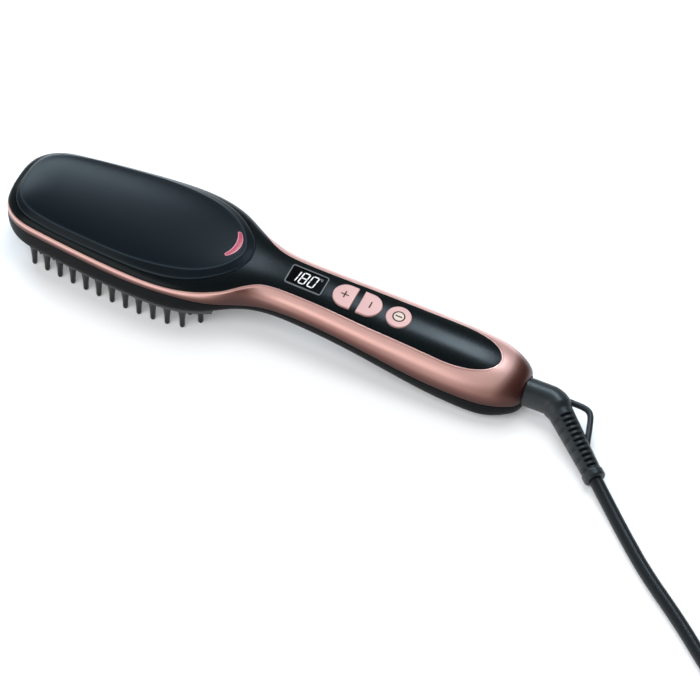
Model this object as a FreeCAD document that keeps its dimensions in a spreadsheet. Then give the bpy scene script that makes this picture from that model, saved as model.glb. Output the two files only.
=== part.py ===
import FreeCAD, Part
import math
import os
import Sketcher
from FreeCAD import Placement, Rotation, Vector

# Heated hair straightening brush with a swivelling mains lead.
# Millimetres. +X runs from the head to the lead, +Z is up as it lies on its
# bristles, and the origin is the centre of the brush on the surface below it.

doc = FreeCAD.newDocument("straightener_brush")
sheet = doc.addObject("Spreadsheet::Sheet", "Sizes")

# ---------------------------------------------------------------- sizes
SIZES = {
    # outer form
    "overall_length": 285.6,
    "crown_power": 2.4,          # fullness of the upper half of a section
    "shell_wall": 2.2,
    "shell_play": 0.1,           # gap between pieces that drop into each other
    "head_seam": 34.1,           # lower edge of the black top shell on the head
    "seam_reach": 133.0,         # how far from the head end that edge runs
    # raised panel on the head
    "panel_rise": 1.4,
    "panel_seat": 1.2,           # depth of the panel's seat in the top shell
    "panel_gap": 0.35,
    # underside of the head
    "plate_level": 14.9,
    "frame_thick": 3.0,
    "frame_inset": 2.6,
    "frame_width": 6.2,
    "frame_end": 122.0,          # how far from the head end the frame runs
    "plate_thick": 2.4,
    "plate_end": 111.4,
    "plate_play": 0.25,
    # bristles
    "bristle_columns": 12,
    "bristle_pitch": 7.9,
    "first_column": 20.1,        # from the head end
    "guard_inset": 5.5,
    "front_guard_spread": 9.0,   # half of the short row before the first column
    "back_column": 114.2,
    "back_guard_spread": 20.5,
    "bristle_root": 2.2,         # radius at the plate
    "bristle_waist": 1.3,        # radius above the rounded tip
    # heater
    "ptc_length": 62.0,
    "ptc_width": 9.0,
    "ptc_thick": 2.4,
    "ptc_spacing": 18.0,
    "ptc_at": 64.0,
    "clamp_thick": 1.2,
    "clamp_width": 34.0,
    "clamp_length": 78.0,
    "fuse_diameter": 4.0,
    "fuse_length": 11.0,
    "heater_screw_shank": 1.5,
    "heater_screw_head": 2.8,
    # control deck along the handle, measured from the neck station
    "deck_thick": 3.3,
    "deck_length": 118.0,
    "display_at": 21.6,
    "display_length": 20.3,
    "display_width": 12.6,
    "bezel_rim": 0.9,
    "window_thick": 1.4,
    "board_drop": 7.6,           # top of the circuit board below the deck
    "board_thick": 1.6,
    "board_start": 8.0,
    "board_length": 88.0,
    "board_width": 17.0,
    "button_half": 7.1,
    "button_straight": 4.4,
    "plus_at": 43.6,
    "minus_at": 55.8,
    "power_at": 72.4,
    "power_radius": 6.6,
    "button_proud": 0.5,
    "button_play": 0.2,
    "button_flange": 0.9,
    "flange_thick": 1.0,
    "button_travel": 0.8,
    "switch_side": 6.0,
    "switch_body": 1.9,
    "switch_stem": 1.6,          # radius
    # crescent light
    "light_at": 118.0,           # from the head end to the centre of its outer arc
    "light_outer": 11.2,
    "light_inner": 13.6,
    "light_shift": 5.4,
    # ion generator
    "ion_length": 30.0,
    "ion_width": 14.0,
    "ion_height": 9.0,
    "ion_at": 222.0,
    "outlet_at": 134.5,
    "outlet_radius": 3.0,
    # case screws
    "front_screw_at": 144.0,
    "back_screw_at": 246.0,
    "screw_shank": 1.5,
    "screw_head": 2.9,
    "screw_length": 11.0,
    "screw_seat": 3.5,           # wall under the head, down from the parting
    "boss_radius": 4.2,
    # lead swivel
    "swivel_level": 13.5,
    "journal_radius": 6.4,
    "journal_play": 0.05,
    "bush_wall": 1.7,
    "bush_length": 7.0,
    "elbow_radius": 7.5,
    "elbow_run": 15.2,
    "elbow_bend": 9.0,
    "relief_length": 47.9,       # from the bend to the end of the collar
    "relief_side": -41.9,        # plan angle of the sleeve
    "relief_dip": -8.2,
    "relief_start": 6.6,         # radius after the bend
    "relief_end": 5.1,
    "collar_radius": 5.7,
    "collar_length": 5.0,
    "slot_count": 11,
    "slot_pitch": 3.0,
    "slot_width": 1.2,
    "slot_depth": 1.9,
    "loop_rod": 1.6,
    "loop_reach": 19.4,          # corner of the loop beyond the bend
    "loop_side": 3.8,
    "loop_landing": 35.5,        # where the loop meets the sleeve, from the bend
    "contact_radius": 4.0,
    "contact_length": 9.0,
    # lead
    "cord_diameter": 7.0,
    "coil_outer": 52.5,
    "coil_inner": 22.5,
    "coil_layers": 2,
    "tie_width": 12.0,
    "tie_thick": 1.0,
    "plug_length": 36.0,
    "plug_width": 35.3,
    "plug_thick": 13.7,
    "pin_radius": 2.0,
    "pin_length": 19.0,
    "pin_spacing": 18.6,
}

# Cross-sections of the outer form, by distance from the head end: half width,
# crown, level of the greatest width, lower edge of the side band, keel, and how
# square the lower half is.
COLUMNS = ("at", "half", "crown", "waist", "seam", "keel", "square")
STATIONS = {
    "tip": (0.3, 7.0, 34.6, 31.5, 29.0, 26.6, 3.0),
    "nose": (2.7, 17.2, 37.6, 31.5, 29.0, 19.5, 4.5),
    "cheek": (10.5, 24.5, 40.0, 31.5, 29.0, 15.3, 6.0),
    "temple": (26.1, 28.6, 41.4, 31.5, 29.0, 14.5, 6.5),
    "brow": (52.0, 31.9, 42.1, 31.5, 29.0, 14.5, 6.5),
    "belly": (78.8, 34.3, 42.3, 31.5, 29.0, 14.5, 6.5),
    "jaw": (103.8, 33.4, 41.7, 31.5, 29.0, 14.5, 6.5),
    "shoulder": (118.8, 28.6, 40.8, 31.5, 29.0, 14.9, 6.0),
    "collar": (130.8, 21.9, 39.8, 31.2, 28.8, 15.8, 5.0),
    "neck": (142.0, 18.0, 38.6, 30.0, 28.0, 16.2, 4.2),
    "throat": (166.8, 16.8, 37.1, 26.6, 26.0, 14.0, 3.0),
    "fore": (190.8, 18.0, 35.7, 23.9, 23.5, 10.6, 2.6),
    "grip": (214.8, 19.3, 34.3, 20.4, 20.1, 5.7, 2.5),
    "palm": (238.8, 20.0, 33.0, 17.0, 16.7, 0.7, 2.6),
    "heel": (254.8, 20.0, 31.7, 16.0, 15.6, 0.0, 3.0),
    "back": (270.0, 18.4, 29.6, 15.0, 14.8, 0.3, 3.2),
    "rump": (279.0, 14.8, 27.0, 14.2, 14.1, 2.0, 2.8),
    "end": (285.4, 9.0, 22.0, 13.5, 13.5, 5.2, 2.4),
}

# Half width of the black insert on the handle, by distance from the head end.
INSERT = {
    "insert_root": (126.0, 26.0),
    "insert_neck": (133.0, 18.2),
    "insert_waist": (142.5, 14.4),
    "insert_front": (158.5, 9.6),
    "insert_middle": (183.5, 9.4),
    "insert_grip": (208.5, 9.7),
    "insert_palm": (233.5, 10.5),
    "insert_heel": (253.5, 10.8),
    "insert_back": (263.5, 8.4),
    "insert_tip": (269.3, 0.0),
}

# Half width of the raised panel on the head, by distance from the head end.
PANEL = {
    "panel_tip": (3.9, 0.0),
    "panel_nose": (5.6, 12.6),
    "panel_cheek": (10.0, 19.6),
    "panel_temple": (25.2, 25.8),
    "panel_brow": (52.0, 29.2),
    "panel_belly": (76.0, 31.0),
    "panel_jaw": (97.0, 30.2),
    "panel_shoulder": (112.0, 25.6),
    "panel_collar": (123.5, 17.6),
    "panel_back": (131.0, 8.6),
    "panel_end": (133.3, 0.0),
}


def fill_sheet():
    """Every driving dimension gets a cell with its own alias."""
    rows = dict(SIZES)
    for name, values in STATIONS.items():
        rows.update({f"{name}_{column}": value for column, value in zip(COLUMNS, values)})
    for table in (INSERT, PANEL):
        for name, (at, half) in table.items():
            rows[f"{name}_at"] = at
            rows[f"{name}_half"] = half
    for row, (alias, value) in enumerate(rows.items(), start=1):
        sheet.set(f"A{row}", alias)
        sheet.set(f"B{row}", str(value))
        sheet.setAlias(f"B{row}", alias)
    doc.recompute()


def size(alias):
    return float(sheet.get(alias))


fill_sheet()
HEAD_END = -size("overall_length") / 2


def along(alias):
    """X of a place that the sheet gives as a distance from the head end."""
    return HEAD_END + size(alias)


# ---------------------------------------------------------------- helpers
def feature(name, shape):
    """A sub-part whose solid is set by Part's own functions."""
    obj = doc.addObject("Part::Feature", name)
    obj.Label = name
    obj.Shape = shape
    return obj


def new_body(name, place=None):
    body = doc.addObject("PartDesign::Body", name)
    body.Label = name
    if place:
        body.Placement = place
    return body


def new_sketch(body, name, role="XY_Plane", height=None):
    """A sketch on one of the body's own planes, raised by an expression."""
    sketch = body.newObject("Sketcher::SketchObject", name)
    plane = [item for item in body.Origin.OriginFeatures if item.Role == role][0]
    sketch.AttachmentSupport = [(plane, "")]
    sketch.MapMode = "FlatFace"
    if height:
        sketch.setExpression("AttachmentOffset.Base.z", bound(height))
    return sketch


def bound(expression):
    """The sheet's aliases in an expression, written as a reference to the sheet."""
    words = []
    for word in expression.split():
        words.append(f"Sizes.{word}" if word[0].isalpha() else word)
    return " ".join(words)


def pin_point(sketch, geometry, end, corner):
    """Bind both coordinates of a sketch point to expressions."""
    for kind, expression in zip(("DistanceX", "DistanceY"), corner):
        value = float(sketch.evalExpression(bound(expression)))
        index = sketch.addConstraint(Sketcher.Constraint(kind, geometry, end, value))
        sketch.setExpression(f"Constraints[{index}]", bound(expression))


def polygon(sketch, corners):
    """A closed outline through corners that are pairs of expressions."""
    spots = [Vector(*[float(sketch.evalExpression(bound(e))) for e in pair], 0) for pair in corners]
    count = len(corners)
    first = sketch.GeometryCount
    for index in range(count):
        sketch.addGeometry(Part.LineSegment(spots[index], spots[(index + 1) % count]), False)
    for index in range(count):
        following = first + (index + 1) % count
        sketch.addConstraint(Sketcher.Constraint("Coincident", first + index, 2, following, 1))
        pin_point(sketch, first + index, 1, corners[index])


def rectangle(sketch, length, width):
    """A rectangle about the sketch's origin."""
    x, y = f"{length} / 2", f"{width} / 2"
    polygon(sketch, [(f"0 - {x}", f"0 - {y}"), (x, f"0 - {y}"), (x, y), (f"0 - {x}", y)])


def circle(sketch, radius, centre=("0", "0")):
    spot = Vector(*[float(sketch.evalExpression(bound(e))) for e in centre], 0)
    value = float(sketch.evalExpression(bound(radius)))
    index = sketch.addGeometry(Part.Circle(spot, Vector(0, 0, 1), value), False)
    pin_point(sketch, index, 3, centre)
    number = sketch.addConstraint(Sketcher.Constraint("Radius", index, value))
    sketch.setExpression(f"Constraints[{number}]", bound(radius))


def add_pad(body, sketch, length, down=False):
    pad = body.newObject("PartDesign::Pad", sketch.Name + "_pad")
    pad.Profile = sketch
    pad.setExpression("Length", bound(length))
    pad.Reversed = down
    return pad


def add_revolution(body, sketch, axis="H_Axis"):
    turned = body.newObject("PartDesign::Revolution", sketch.Name + "_turn")
    turned.Profile = sketch
    turned.ReferenceAxis = (sketch, [axis])
    turned.Angle = 360
    return turned


def rounded(body, feature_object, edges, radius):
    """A fillet on the edges that a test picks."""
    doc.recompute()
    names = [f"Edge{i + 1}" for i, e in enumerate(feature_object.Shape.Edges) if edges(e)]
    fillet = body.newObject("PartDesign::Fillet", feature_object.Name + "_round")
    fillet.Base = (feature_object, names)
    fillet.Radius = radius
    return fillet


def upright(edge):
    """True for a straight edge along Z of its own body."""
    spread = edge.BoundBox
    return spread.XLength < 1e-4 and spread.YLength < 1e-4


def level_at(height):
    """A test for edges that lie at one height of their own body."""
    return lambda edge: abs(edge.BoundBox.ZMin - height) < 1e-3 and edge.BoundBox.ZLength < 1e-3


def closed_curve(points):
    curve = Part.BSplineCurve()
    curve.interpolate(Points=points, PeriodicFlag=True)
    return Part.Wire(curve.toShape())


def outline(table, shrink=0.0):
    """Plan outline through a table of half widths, closed on the axis at its ends."""
    spots = [(along(f"{name}_at"), size(f"{name}_half")) for name in table]
    middle = (spots[0][0] + spots[-1][0]) / 2
    reach = (spots[-1][0] - spots[0][0]) / 2
    scale = 1 - shrink / reach
    near = [Vector(middle + (x - middle) * scale, half - shrink if half else 0, 0) for x, half in spots]
    far = [Vector(point.x, -point.y, 0) for point in reversed(near) if point.y > 1e-6]
    return closed_curve(near + far)


def prism(wire, low, high):
    """A plan outline drawn up between two levels."""
    solid = Part.Face(wire).extrude(Vector(0, 0, high - low))
    solid.translate(Vector(0, 0, low))
    return solid


def block(low, high):
    corner, far = Vector(*low), Vector(*high)
    span = far - corner
    return Part.makeBox(span.x, span.y, span.z, corner)


# ---------------------------------------------------------------- outer form
HALF_SECTION = 9                 # points along each half of a section


def section(name, inset):
    """One closed cross-section of the form, drawn in by the inset."""
    x = along(f"{name}_at") * (1 + inset / HEAD_END)
    half = size(f"{name}_half") - inset
    waist = size(f"{name}_waist")
    rise = size(f"{name}_crown") - inset - waist
    drop = waist - size(f"{name}_keel") - inset
    points = []
    for step in range(2 * HALF_SECTION):
        angle = math.pi * step / HALF_SECTION
        power = size("crown_power") if math.sin(angle) >= 0 else size(f"{name}_square")
        y = half * math.copysign(abs(math.cos(angle)) ** (2 / power), math.cos(angle))
        z = abs(math.sin(angle)) ** (2 / power) * (rise if math.sin(angle) >= 0 else -drop)
        points.append(Vector(x, y, waist + z))
    return closed_curve(points)


def form(inset=0.0):
    """The whole moulded form, drawn in by the inset, or swollen where it is negative."""
    wires = [section(name, inset) for name in STATIONS]
    solid = Part.makeLoft(wires, True, False, False, 5)
    return solid.common(block((-200, -60, inset), (200, 60, 80)))


OUTER = form()
INNER = form(size("shell_wall"))


def seam_profile():
    """Everything below the lower edge of the side band."""
    spots = [Vector(along(f"{name}_at"), -60, size(f"{name}_seam")) for name in STATIONS]
    spots[0].x = HEAD_END - 5
    spots[-1].x = -HEAD_END + 5
    edge = Part.BSplineCurve()
    edge.interpolate(spots)
    low = -20
    left, right = Vector(spots[0].x, -60, low), Vector(spots[-1].x, -60, low)
    lines = [Part.makeLine(spots[-1], right), Part.makeLine(right, left), Part.makeLine(left, spots[0])]
    return Part.Face(Part.Wire([edge.toShape()] + lines)).extrude(Vector(0, 120, 0))


BELOW_SEAM = seam_profile()
WIDE, TALL = 60, 80


def upper_zone():
    """The space of the black top shell: the head above its seam, and the insert."""
    head = block((-200, -WIDE, size("head_seam")), (along("seam_reach"), WIDE, TALL))
    insert = prism(outline(INSERT), size("head_seam") - 30, TALL)
    insert = insert.common(block((along("seam_reach") - 1, -WIDE, 0), (200, WIDE, TALL)))
    return head.fuse(insert)


UPPER = upper_zone()


def head_plan(inset=0.0):
    """The plan of the head at its greatest width, drawn in, and closed square at the neck."""
    shrink = 1 + inset / HEAD_END
    names = [name for name in STATIONS if size(f"{name}_at") <= size("neck_at")]
    wide = [name for name in names if size(f"{name}_half") - inset > 3]
    near = [Vector(along(f"{name}_at") * shrink, inset - size(f"{name}_half"), 0) for name in reversed(wide)]
    far = [Vector(spot.x, -spot.y, 0) for spot in reversed(near)]
    edge = Part.BSplineCurve()
    edge.interpolate(near + [Vector(HEAD_END + inset, 0, 0)] + far)
    return Part.Face(Part.Wire([edge.toShape(), Part.makeLine(far[-1], near[0])]))


HEAD_PLAN = head_plan()


def head_plate(inset, end, low, high):
    """A flat piece of the head's plan, drawn in and cut off square at its neck end."""
    solid = head_plan(inset).extrude(Vector(0, 0, high - low))
    solid.translate(Vector(0, 0, low))
    return solid.common(block((-200, -WIDE, low - 1), (end, WIDE, high + 1)))


# ---------------------------------------------------------------- control deck
DECK_TILT = math.degrees(math.atan2(size("neck_crown") - size("palm_crown"),
                                    size("palm_at") - size("neck_at")))
DECK = Placement(Vector(along("neck_at"), 0, size("neck_crown")),
                 Rotation(Vector(0, 1, 0), DECK_TILT))


def on_deck(at, height="0", turn=0):
    """A place on the control deck, at a distance from the neck station."""
    local = Placement(Vector(size(at), 0, float(height)), Rotation(Vector(0, 0, 1), turn))
    return DECK.multiply(local)


def deck_cut(at, wire, low, high):
    """A straight hole through the deck."""
    tool = Part.Face(wire).extrude(Vector(0, 0, high - low))
    tool.Placement = on_deck(at, low)
    return tool


def d_wire(half, straight, grow=0.0, turn=0):
    """A button's outline: a half circle closed by a square end."""
    radius, run = half + grow, straight + grow
    arc = Part.Arc(Vector(0, radius, 0), Vector(-radius, 0, 0), Vector(0, -radius, 0)).toShape()
    corner, far = Vector(run, -radius, 0), Vector(run, radius, 0)
    wire = Part.Wire([arc, Part.makeLine(Vector(0, -radius, 0), corner),
                      Part.makeLine(corner, far), Part.makeLine(far, Vector(0, radius, 0))])
    wire.rotate(Vector(), Vector(0, 0, 1), turn)
    return wire


def box_wire(length, width):
    x, y = length / 2, width / 2
    return Part.makePolygon([Vector(-x, -y), Vector(x, -y), Vector(x, y), Vector(-x, y), Vector(-x, -y)])


DECK_LOW = -size("deck_thick")
BUTTON_DROP = -size("deck_thick") - size("button_play") - size("flange_thick")


def deck_holes():
    play = size("button_play")
    window = box_wire(size("display_length") + 0.1, size("display_width") + 0.1)
    half, straight = size("button_half"), size("button_straight")
    power = Part.Wire(Part.makeCircle(size("power_radius") + play))
    return [
        deck_cut("display_at", window, DECK_LOW - 5, 9),
        deck_cut("plus_at", d_wire(half, straight, play), DECK_LOW - 5, 9),
        deck_cut("minus_at", d_wire(half, straight, play, 180), DECK_LOW - 5, 9),
        deck_cut("power_at", power, DECK_LOW - 5, 9),
    ]


def deck_slab():
    """The thick part of the insert that carries the controls."""
    slab = Part.makeBox(size("deck_length"), 2 * WIDE, 20, Vector(4, -WIDE, DECK_LOW))
    slab.Placement = DECK
    return slab


# ---------------------------------------------------------------- shells
def board_posts():
    """Four pegs under the insert that the circuit board is fixed to."""
    posts = []
    for along_board in (4, size("board_length") - 4):
        for side in (-1, 1):
            y = side * (size("board_width") / 2 - 2)
            post = Part.makeCylinder(1.6, size("board_drop") + DECK_LOW + 1,
                                     Vector(size("board_start") + along_board, y, -size("board_drop")))
            post.Placement = DECK.multiply(post.Placement)
            posts.append(post)
    return posts[0].fuse(posts[1:])


def screw_column(at, low, high, radius):
    return Part.makeCylinder(radius, high - low, Vector(along(at), 0, low))


def screw_parting(at):
    """Level where the two halves of a screw column meet."""
    return size("neck_seam") - 1.6 if at == "front_screw_at" else size("heel_seam")


SCREWS = ("front_screw_at", "back_screw_at")


def light_wire(grow=0.0):
    """Crescent between two arcs, convex towards the handle."""
    centre = along("light_at")
    outer, inner = size("light_outer") + grow, size("light_inner") - grow
    disc = Part.Face(Part.Wire(Part.makeCircle(outer, Vector(centre, 0, 0))))
    bite = Part.Face(Part.Wire(Part.makeCircle(inner, Vector(centre - size("light_shift"), 0, 0))))
    return disc.cut(bite).Wires[0]


def panel_space(shrink=0.0):
    """The seat of the raised panel, down to its depth below the form."""
    seat = prism(outline(PANEL, shrink), size("head_seam"), TALL)
    return seat.cut(form(size("panel_seat")))


def top_shell():
    shell = OUTER.common(UPPER).cut(INNER.cut(deck_slab()))
    shell = shell.cut(panel_space())
    for at in SCREWS:
        parting = screw_parting(at)
        column = screw_column(at, parting, TALL, size("boss_radius")).common(form(1.0))
        deep = parting - size("screw_seat") + size("screw_length") + 1.5
        bore = screw_column(at, parting - 1, deep, size("screw_shank"))
        shell = shell.fuse(column).cut(bore)
    shell = shell.fuse(board_posts()).cut(prism(light_wire(0.1), size("head_seam") - 9, TALL))
    for hole in deck_holes():
        shell = shell.cut(hole)
    return biggest(shell)


def biggest(shape):
    """The main solid of a cut, with chips from the cut left out."""
    return max(shape.Solids, key=lambda solid: solid.Volume)


def swivel_bore(radius, start, end):
    return Part.makeCylinder(radius, end - start, Vector(start, 0, size("swivel_level")), Vector(1, 0, 0))


JOURNAL = size("journal_radius")
END_FACE = along("end_at")
BUSH_END = END_FACE - size("shell_wall")
BUSH_START = BUSH_END - size("bush_length")
BUSH_OUTER = JOURNAL + size("journal_play") + size("bush_wall")
FLANGE_END = BUSH_START - 0.3
FLANGE_START = FLANGE_END - 2.0
CONTACT_START = FLANGE_START - size("contact_length")
CONTACT_FLOOR = size("swivel_level") - size("contact_radius") - 4


def side_band():
    band = OUTER.cut(INNER).cut(UPPER).cut(BELOW_SEAM)
    band = band.cut(swivel_bore(BUSH_OUTER, BUSH_START - 20, BUSH_END))
    return biggest(band.cut(swivel_bore(JOURNAL + 0.3, BUSH_END - 1, END_FACE + 5)))


def lower_shell():
    shell = OUTER.cut(INNER).common(BELOW_SEAM)
    opening = head_plate(size("frame_inset") - size("shell_play"), along("frame_end") + 0.1, 0, 26)
    shell = shell.cut(opening)
    for at in SCREWS:
        parting = screw_parting(at)
        column = screw_column(at, 0, parting, size("boss_radius")).common(OUTER)
        head = screw_column(at, -1, parting - size("screw_seat"), size("screw_head") + 0.3)
        shank = screw_column(at, -1, parting + 1, size("screw_shank") + 0.2)
        shell = shell.fuse(column).cut(head).cut(shank)
    shell = shell.fuse(bush_cradle()).fuse(ion_rails())
    shell = shell.cut(swivel_bore(BUSH_OUTER, BUSH_START, BUSH_END))
    shell = shell.cut(swivel_bore(JOURNAL + 0.3, BUSH_END - 1, END_FACE + 5))
    outlet = Part.makeCylinder(size("outlet_radius"), 9, Vector(along("outlet_at"), 0, size("neck_keel") - 3))
    return biggest(shell.cut(outlet))


def bush_cradle():
    """Webs that carry the swivel's bush and the contact block from below."""
    web = block((BUSH_START, -WIDE, 0), (BUSH_START + 3, WIDE, size("end_seam")))
    rib_start = CONTACT_START + size("contact_length") / 3
    rib = block((rib_start, -WIDE, 0), (rib_start + 2, WIDE, CONTACT_FLOOR))
    return web.fuse(rib).common(form(1.0)).common(BELOW_SEAM)


def ion_floor():
    return size("grip_keel") + size("shell_wall") + 2.5


def ion_rails():
    """Two ribs that carry the ion generator."""
    rails = []
    middle = along("ion_at")
    for offset in (-10, 10):
        rib = block((middle + offset - 1, -WIDE, 0), (middle + offset + 1, WIDE, ion_floor()))
        rails.append(rib.common(form(1.0)))
    return rails[0].fuse(rails[1])


def head_panel():
    shrink = size("panel_gap")
    cover = form(-size("panel_rise")).common(prism(outline(PANEL, shrink), size("head_seam"), TALL))
    cover = cover.cut(form(size("panel_seat")))
    return biggest(cover.cut(prism(light_wire(0.1), size("head_seam") - 9, TALL)))


def light_lens():
    column = prism(light_wire(), size("head_seam") + 0.5, TALL)
    return biggest(column.common(form(-size("panel_rise"))))


def light_board():
    """Small circuit board behind the crescent, held by its lens and two shell posts."""
    x, top = along("light_at"), size("head_seam") + 0.5
    return block((x - 4, -11, top - 1.2), (x + 13, 11, top))


feature("top_shell", top_shell())
feature("head_panel", head_panel())
feature("side_band", side_band())
feature("lower_shell", lower_shell())
feature("light_lens", light_lens())
feature("light_board", light_board())

# ---------------------------------------------------------------- brush plate
PLATE_LOW = size("plate_level")
FRAME_TOP = PLATE_LOW + size("frame_thick")
PLATE_TOP = PLATE_LOW + size("plate_thick")
PLATE_INSET = size("frame_inset") + size("frame_width")


def plate_frame():
    frame = head_plate(size("frame_inset"), along("frame_end"), PLATE_LOW, FRAME_TOP)
    inner = head_plate(PLATE_INSET, along("plate_end"), PLATE_LOW - 1, FRAME_TOP + 1)
    return frame.cut(inner)


def heater_plate():
    play = size("plate_play")
    plate = head_plate(PLATE_INSET + play, along("plate_end") - play, PLATE_LOW, PLATE_TOP)
    for x, y in heater_screw_places():
        plate = plate.cut(Part.makeCylinder(size("heater_screw_shank"), 9, Vector(x, y, PLATE_LOW - 1)))
    return plate


def reach_at(x):
    """Half width of the head's plan at one place along it."""
    probe = Part.makeLine(Vector(x, 0, 0), Vector(x, WIDE, 0))
    return probe.common(HEAD_PLAN).Length


def bristle(x, y):
    """A tapered bristle with a rounded tip, hanging from the plate to the surface."""
    root, waist = size("bristle_root"), size("bristle_waist")
    shaft = Part.makeCone(root, waist, PLATE_LOW - waist, Vector(), Vector(0, 0, -1))
    tip = Part.makeSphere(waist, Vector(0, 0, waist - PLATE_LOW))
    pin = shaft.fuse(tip).removeSplitter()
    pin.translate(Vector(x, y, PLATE_LOW))
    return pin


def column_places():
    first, pitch = along("first_column"), size("bristle_pitch")
    return [first + pitch * step for step in range(int(size("bristle_columns")))]


ROWS_A_SIDE = 3


def heated_pins():
    """The hot bristles: every row but the outer ones."""
    pins = []
    for x in column_places():
        outer = reach_at(x) - size("guard_inset")
        for row in range(1 - ROWS_A_SIDE, ROWS_A_SIDE):
            pins.append(bristle(x, outer * row / ROWS_A_SIDE))
    return Part.makeCompound(pins)


def guard_bristles():
    """The cool bristles round the edge."""
    pins = []
    for x in column_places():
        outer = reach_at(x) - size("guard_inset")
        pins += [bristle(x, side * outer) for side in (-1, 1)]
    front = along("first_column") - size("bristle_pitch")
    for x, spread, steps in ((front, size("front_guard_spread"), 1),
                             (along("back_column"), size("back_guard_spread"), 2)):
        pins += [bristle(x, spread * row / steps) for row in range(-steps, steps + 1)]
    return Part.makeCompound(pins)


def heater_screw_places():
    middle = along("ptc_at")
    reach = size("clamp_length") / 2 - 4
    return [(middle + end * reach, side * 4.0) for end in (-1, 1) for side in (-1, 1)]


feature("plate_frame", plate_frame())
feature("heater_plate", heater_plate())
feature("heated_pins", heated_pins())
feature("guard_bristles", guard_bristles())


def strip_body(name, length, width, thick, place):
    """A flat rectangular piece."""
    body = new_body(name, place)
    sketch = new_sketch(body, f"{name}_plan")
    rectangle(sketch, length, width)
    add_pad(body, sketch, thick)
    return body


def ptc_heaters():
    """Two flat heating strips, as one group."""
    strips = []
    for side in (-1, 1):
        strip = doc.addObject("Part::Box", f"ptc_strip_{side + 2}")
        strip.setExpression("Length", bound("ptc_length"))
        strip.setExpression("Width", bound("ptc_width"))
        strip.setExpression("Height", bound("ptc_thick"))
        low = Vector(along("ptc_at") - size("ptc_length") / 2,
                     (side * size("ptc_spacing") - size("ptc_width")) / 2, PLATE_TOP)
        strip.Placement = Placement(low, Rotation())
        strips.append(strip)
    group = doc.addObject("Part::Compound", "ptc_heaters")
    group.Label = "ptc_heaters"
    group.Links = strips
    return group


CLAMP_LOW = PLATE_TOP + size("ptc_thick")
CLAMP_TOP = CLAMP_LOW + size("clamp_thick")


def heater_clamp():
    """Pressed plate that holds the strips down, with its four screw holes."""
    body = new_body("heater_clamp", Placement(Vector(along("ptc_at"), 0, CLAMP_LOW), Rotation()))
    sketch = new_sketch(body, "clamp_plan")
    rectangle(sketch, "clamp_length", "clamp_width")
    for end in ("", "0 - "):
        for side in ("4", "0 - 4"):
            circle(sketch, "heater_screw_shank + 0.1", (f"{end}( clamp_length / 2 - 4 )", side))
    add_pad(body, sketch, "clamp_thick")


def screw_body(name, place, shank, head, length, head_height):
    """A pan-headed screw, its head at the origin and its shank along +X."""
    body = new_body(name, place)
    sketch = new_sketch(body, f"{name}_half")
    polygon(sketch, [(f"0 - {head_height}", "0"), (f"0 - {head_height}", f"{head} * 0.7"),
                     ("0 - 0.4", head), ("0", head), ("0", shank), (length, shank),
                     (f"{length} + 1", "0")])
    add_revolution(body, sketch)
    return body


def screw_group(name, places, direction, shank, head, length, head_height):
    """Identical screws as one group of separate solids."""
    template = screw_body(f"{name}_pattern", Placement(), shank, head, length, head_height)
    doc.recompute()
    turn = Rotation(Vector(1, 0, 0), direction)
    copies = []
    for spot in places:
        copy = template.Shape.copy()
        copy.Placement = Placement(spot, turn)
        copies.append(copy)
    feature(name, Part.makeCompound(copies))
    return template


def thermal_fuse():
    """Axial thermal cut-out, lying on the clamp."""
    low = Vector(along("ptc_at") - size("fuse_length") / 2, 9, CLAMP_TOP + size("fuse_diameter") / 2)
    fuse = doc.addObject("Part::Cylinder", "thermal_fuse")
    fuse.Label = "thermal_fuse"
    fuse.setExpression("Radius", bound("fuse_diameter / 2"))
    fuse.setExpression("Height", bound("fuse_length"))
    fuse.Placement = Placement(low, Rotation(Vector(0, 0, 1), Vector(1, 0, 0)))


def temperature_sensor():
    """Glass-bead sensor in its clip, on the other side of the clamp."""
    x, y = along("ptc_at"), -9.0
    clip = block((x - 4, y - 3, CLAMP_TOP), (x + 4, y + 3, CLAMP_TOP + 0.8))
    bead = Part.makeSphere(1.6, Vector(x, y, CLAMP_TOP + 1.6))
    return clip.fuse(bead)


def bent_rod(points, radius, bends):
    """A rod along straight runs joined by tangent arcs."""
    path = rounded_path(points, bends)
    start = path.OrderedEdges[0]
    direction = start.tangentAt(start.FirstParameter)
    ring = Part.Wire(Part.makeCircle(radius, points[0], direction))
    return path.makePipeShell([ring], True, False)


def rounded_path(points, bends):
    """Straight runs with an arc at each inner point, one radius for each."""
    edges = []
    start = points[0]
    for index in range(1, len(points) - 1):
        corner = points[index]
        back = (points[index - 1] - corner).normalize()
        ahead = (points[index + 1] - corner).normalize()
        half_turn = (math.pi - back.getAngle(ahead)) / 2
        radius = bends[index - 1]
        cut = radius * math.tan(half_turn)
        enter, leave = corner + back * cut, corner + ahead * cut
        bisector = (back + ahead).normalize()
        summit = corner + bisector * (radius / math.cos(half_turn) - radius)
        edges.append(Part.makeLine(start, enter))
        edges.append(Part.Arc(enter, summit, leave).toShape())
        start = leave
    edges.append(Part.makeLine(start, points[-1]))
    return Part.Wire(edges)


def full_bends(points):
    """The largest arc that two runs allow: 0.45 of the shorter one at each corner."""
    bends = []
    for index in range(1, len(points) - 1):
        back, ahead = points[index - 1] - points[index], points[index + 1] - points[index]
        half_turn = (math.pi - back.getAngle(ahead)) / 2
        bends.append(0.45 * min(back.Length, ahead.Length) / math.tan(half_turn))
    return bends


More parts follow.
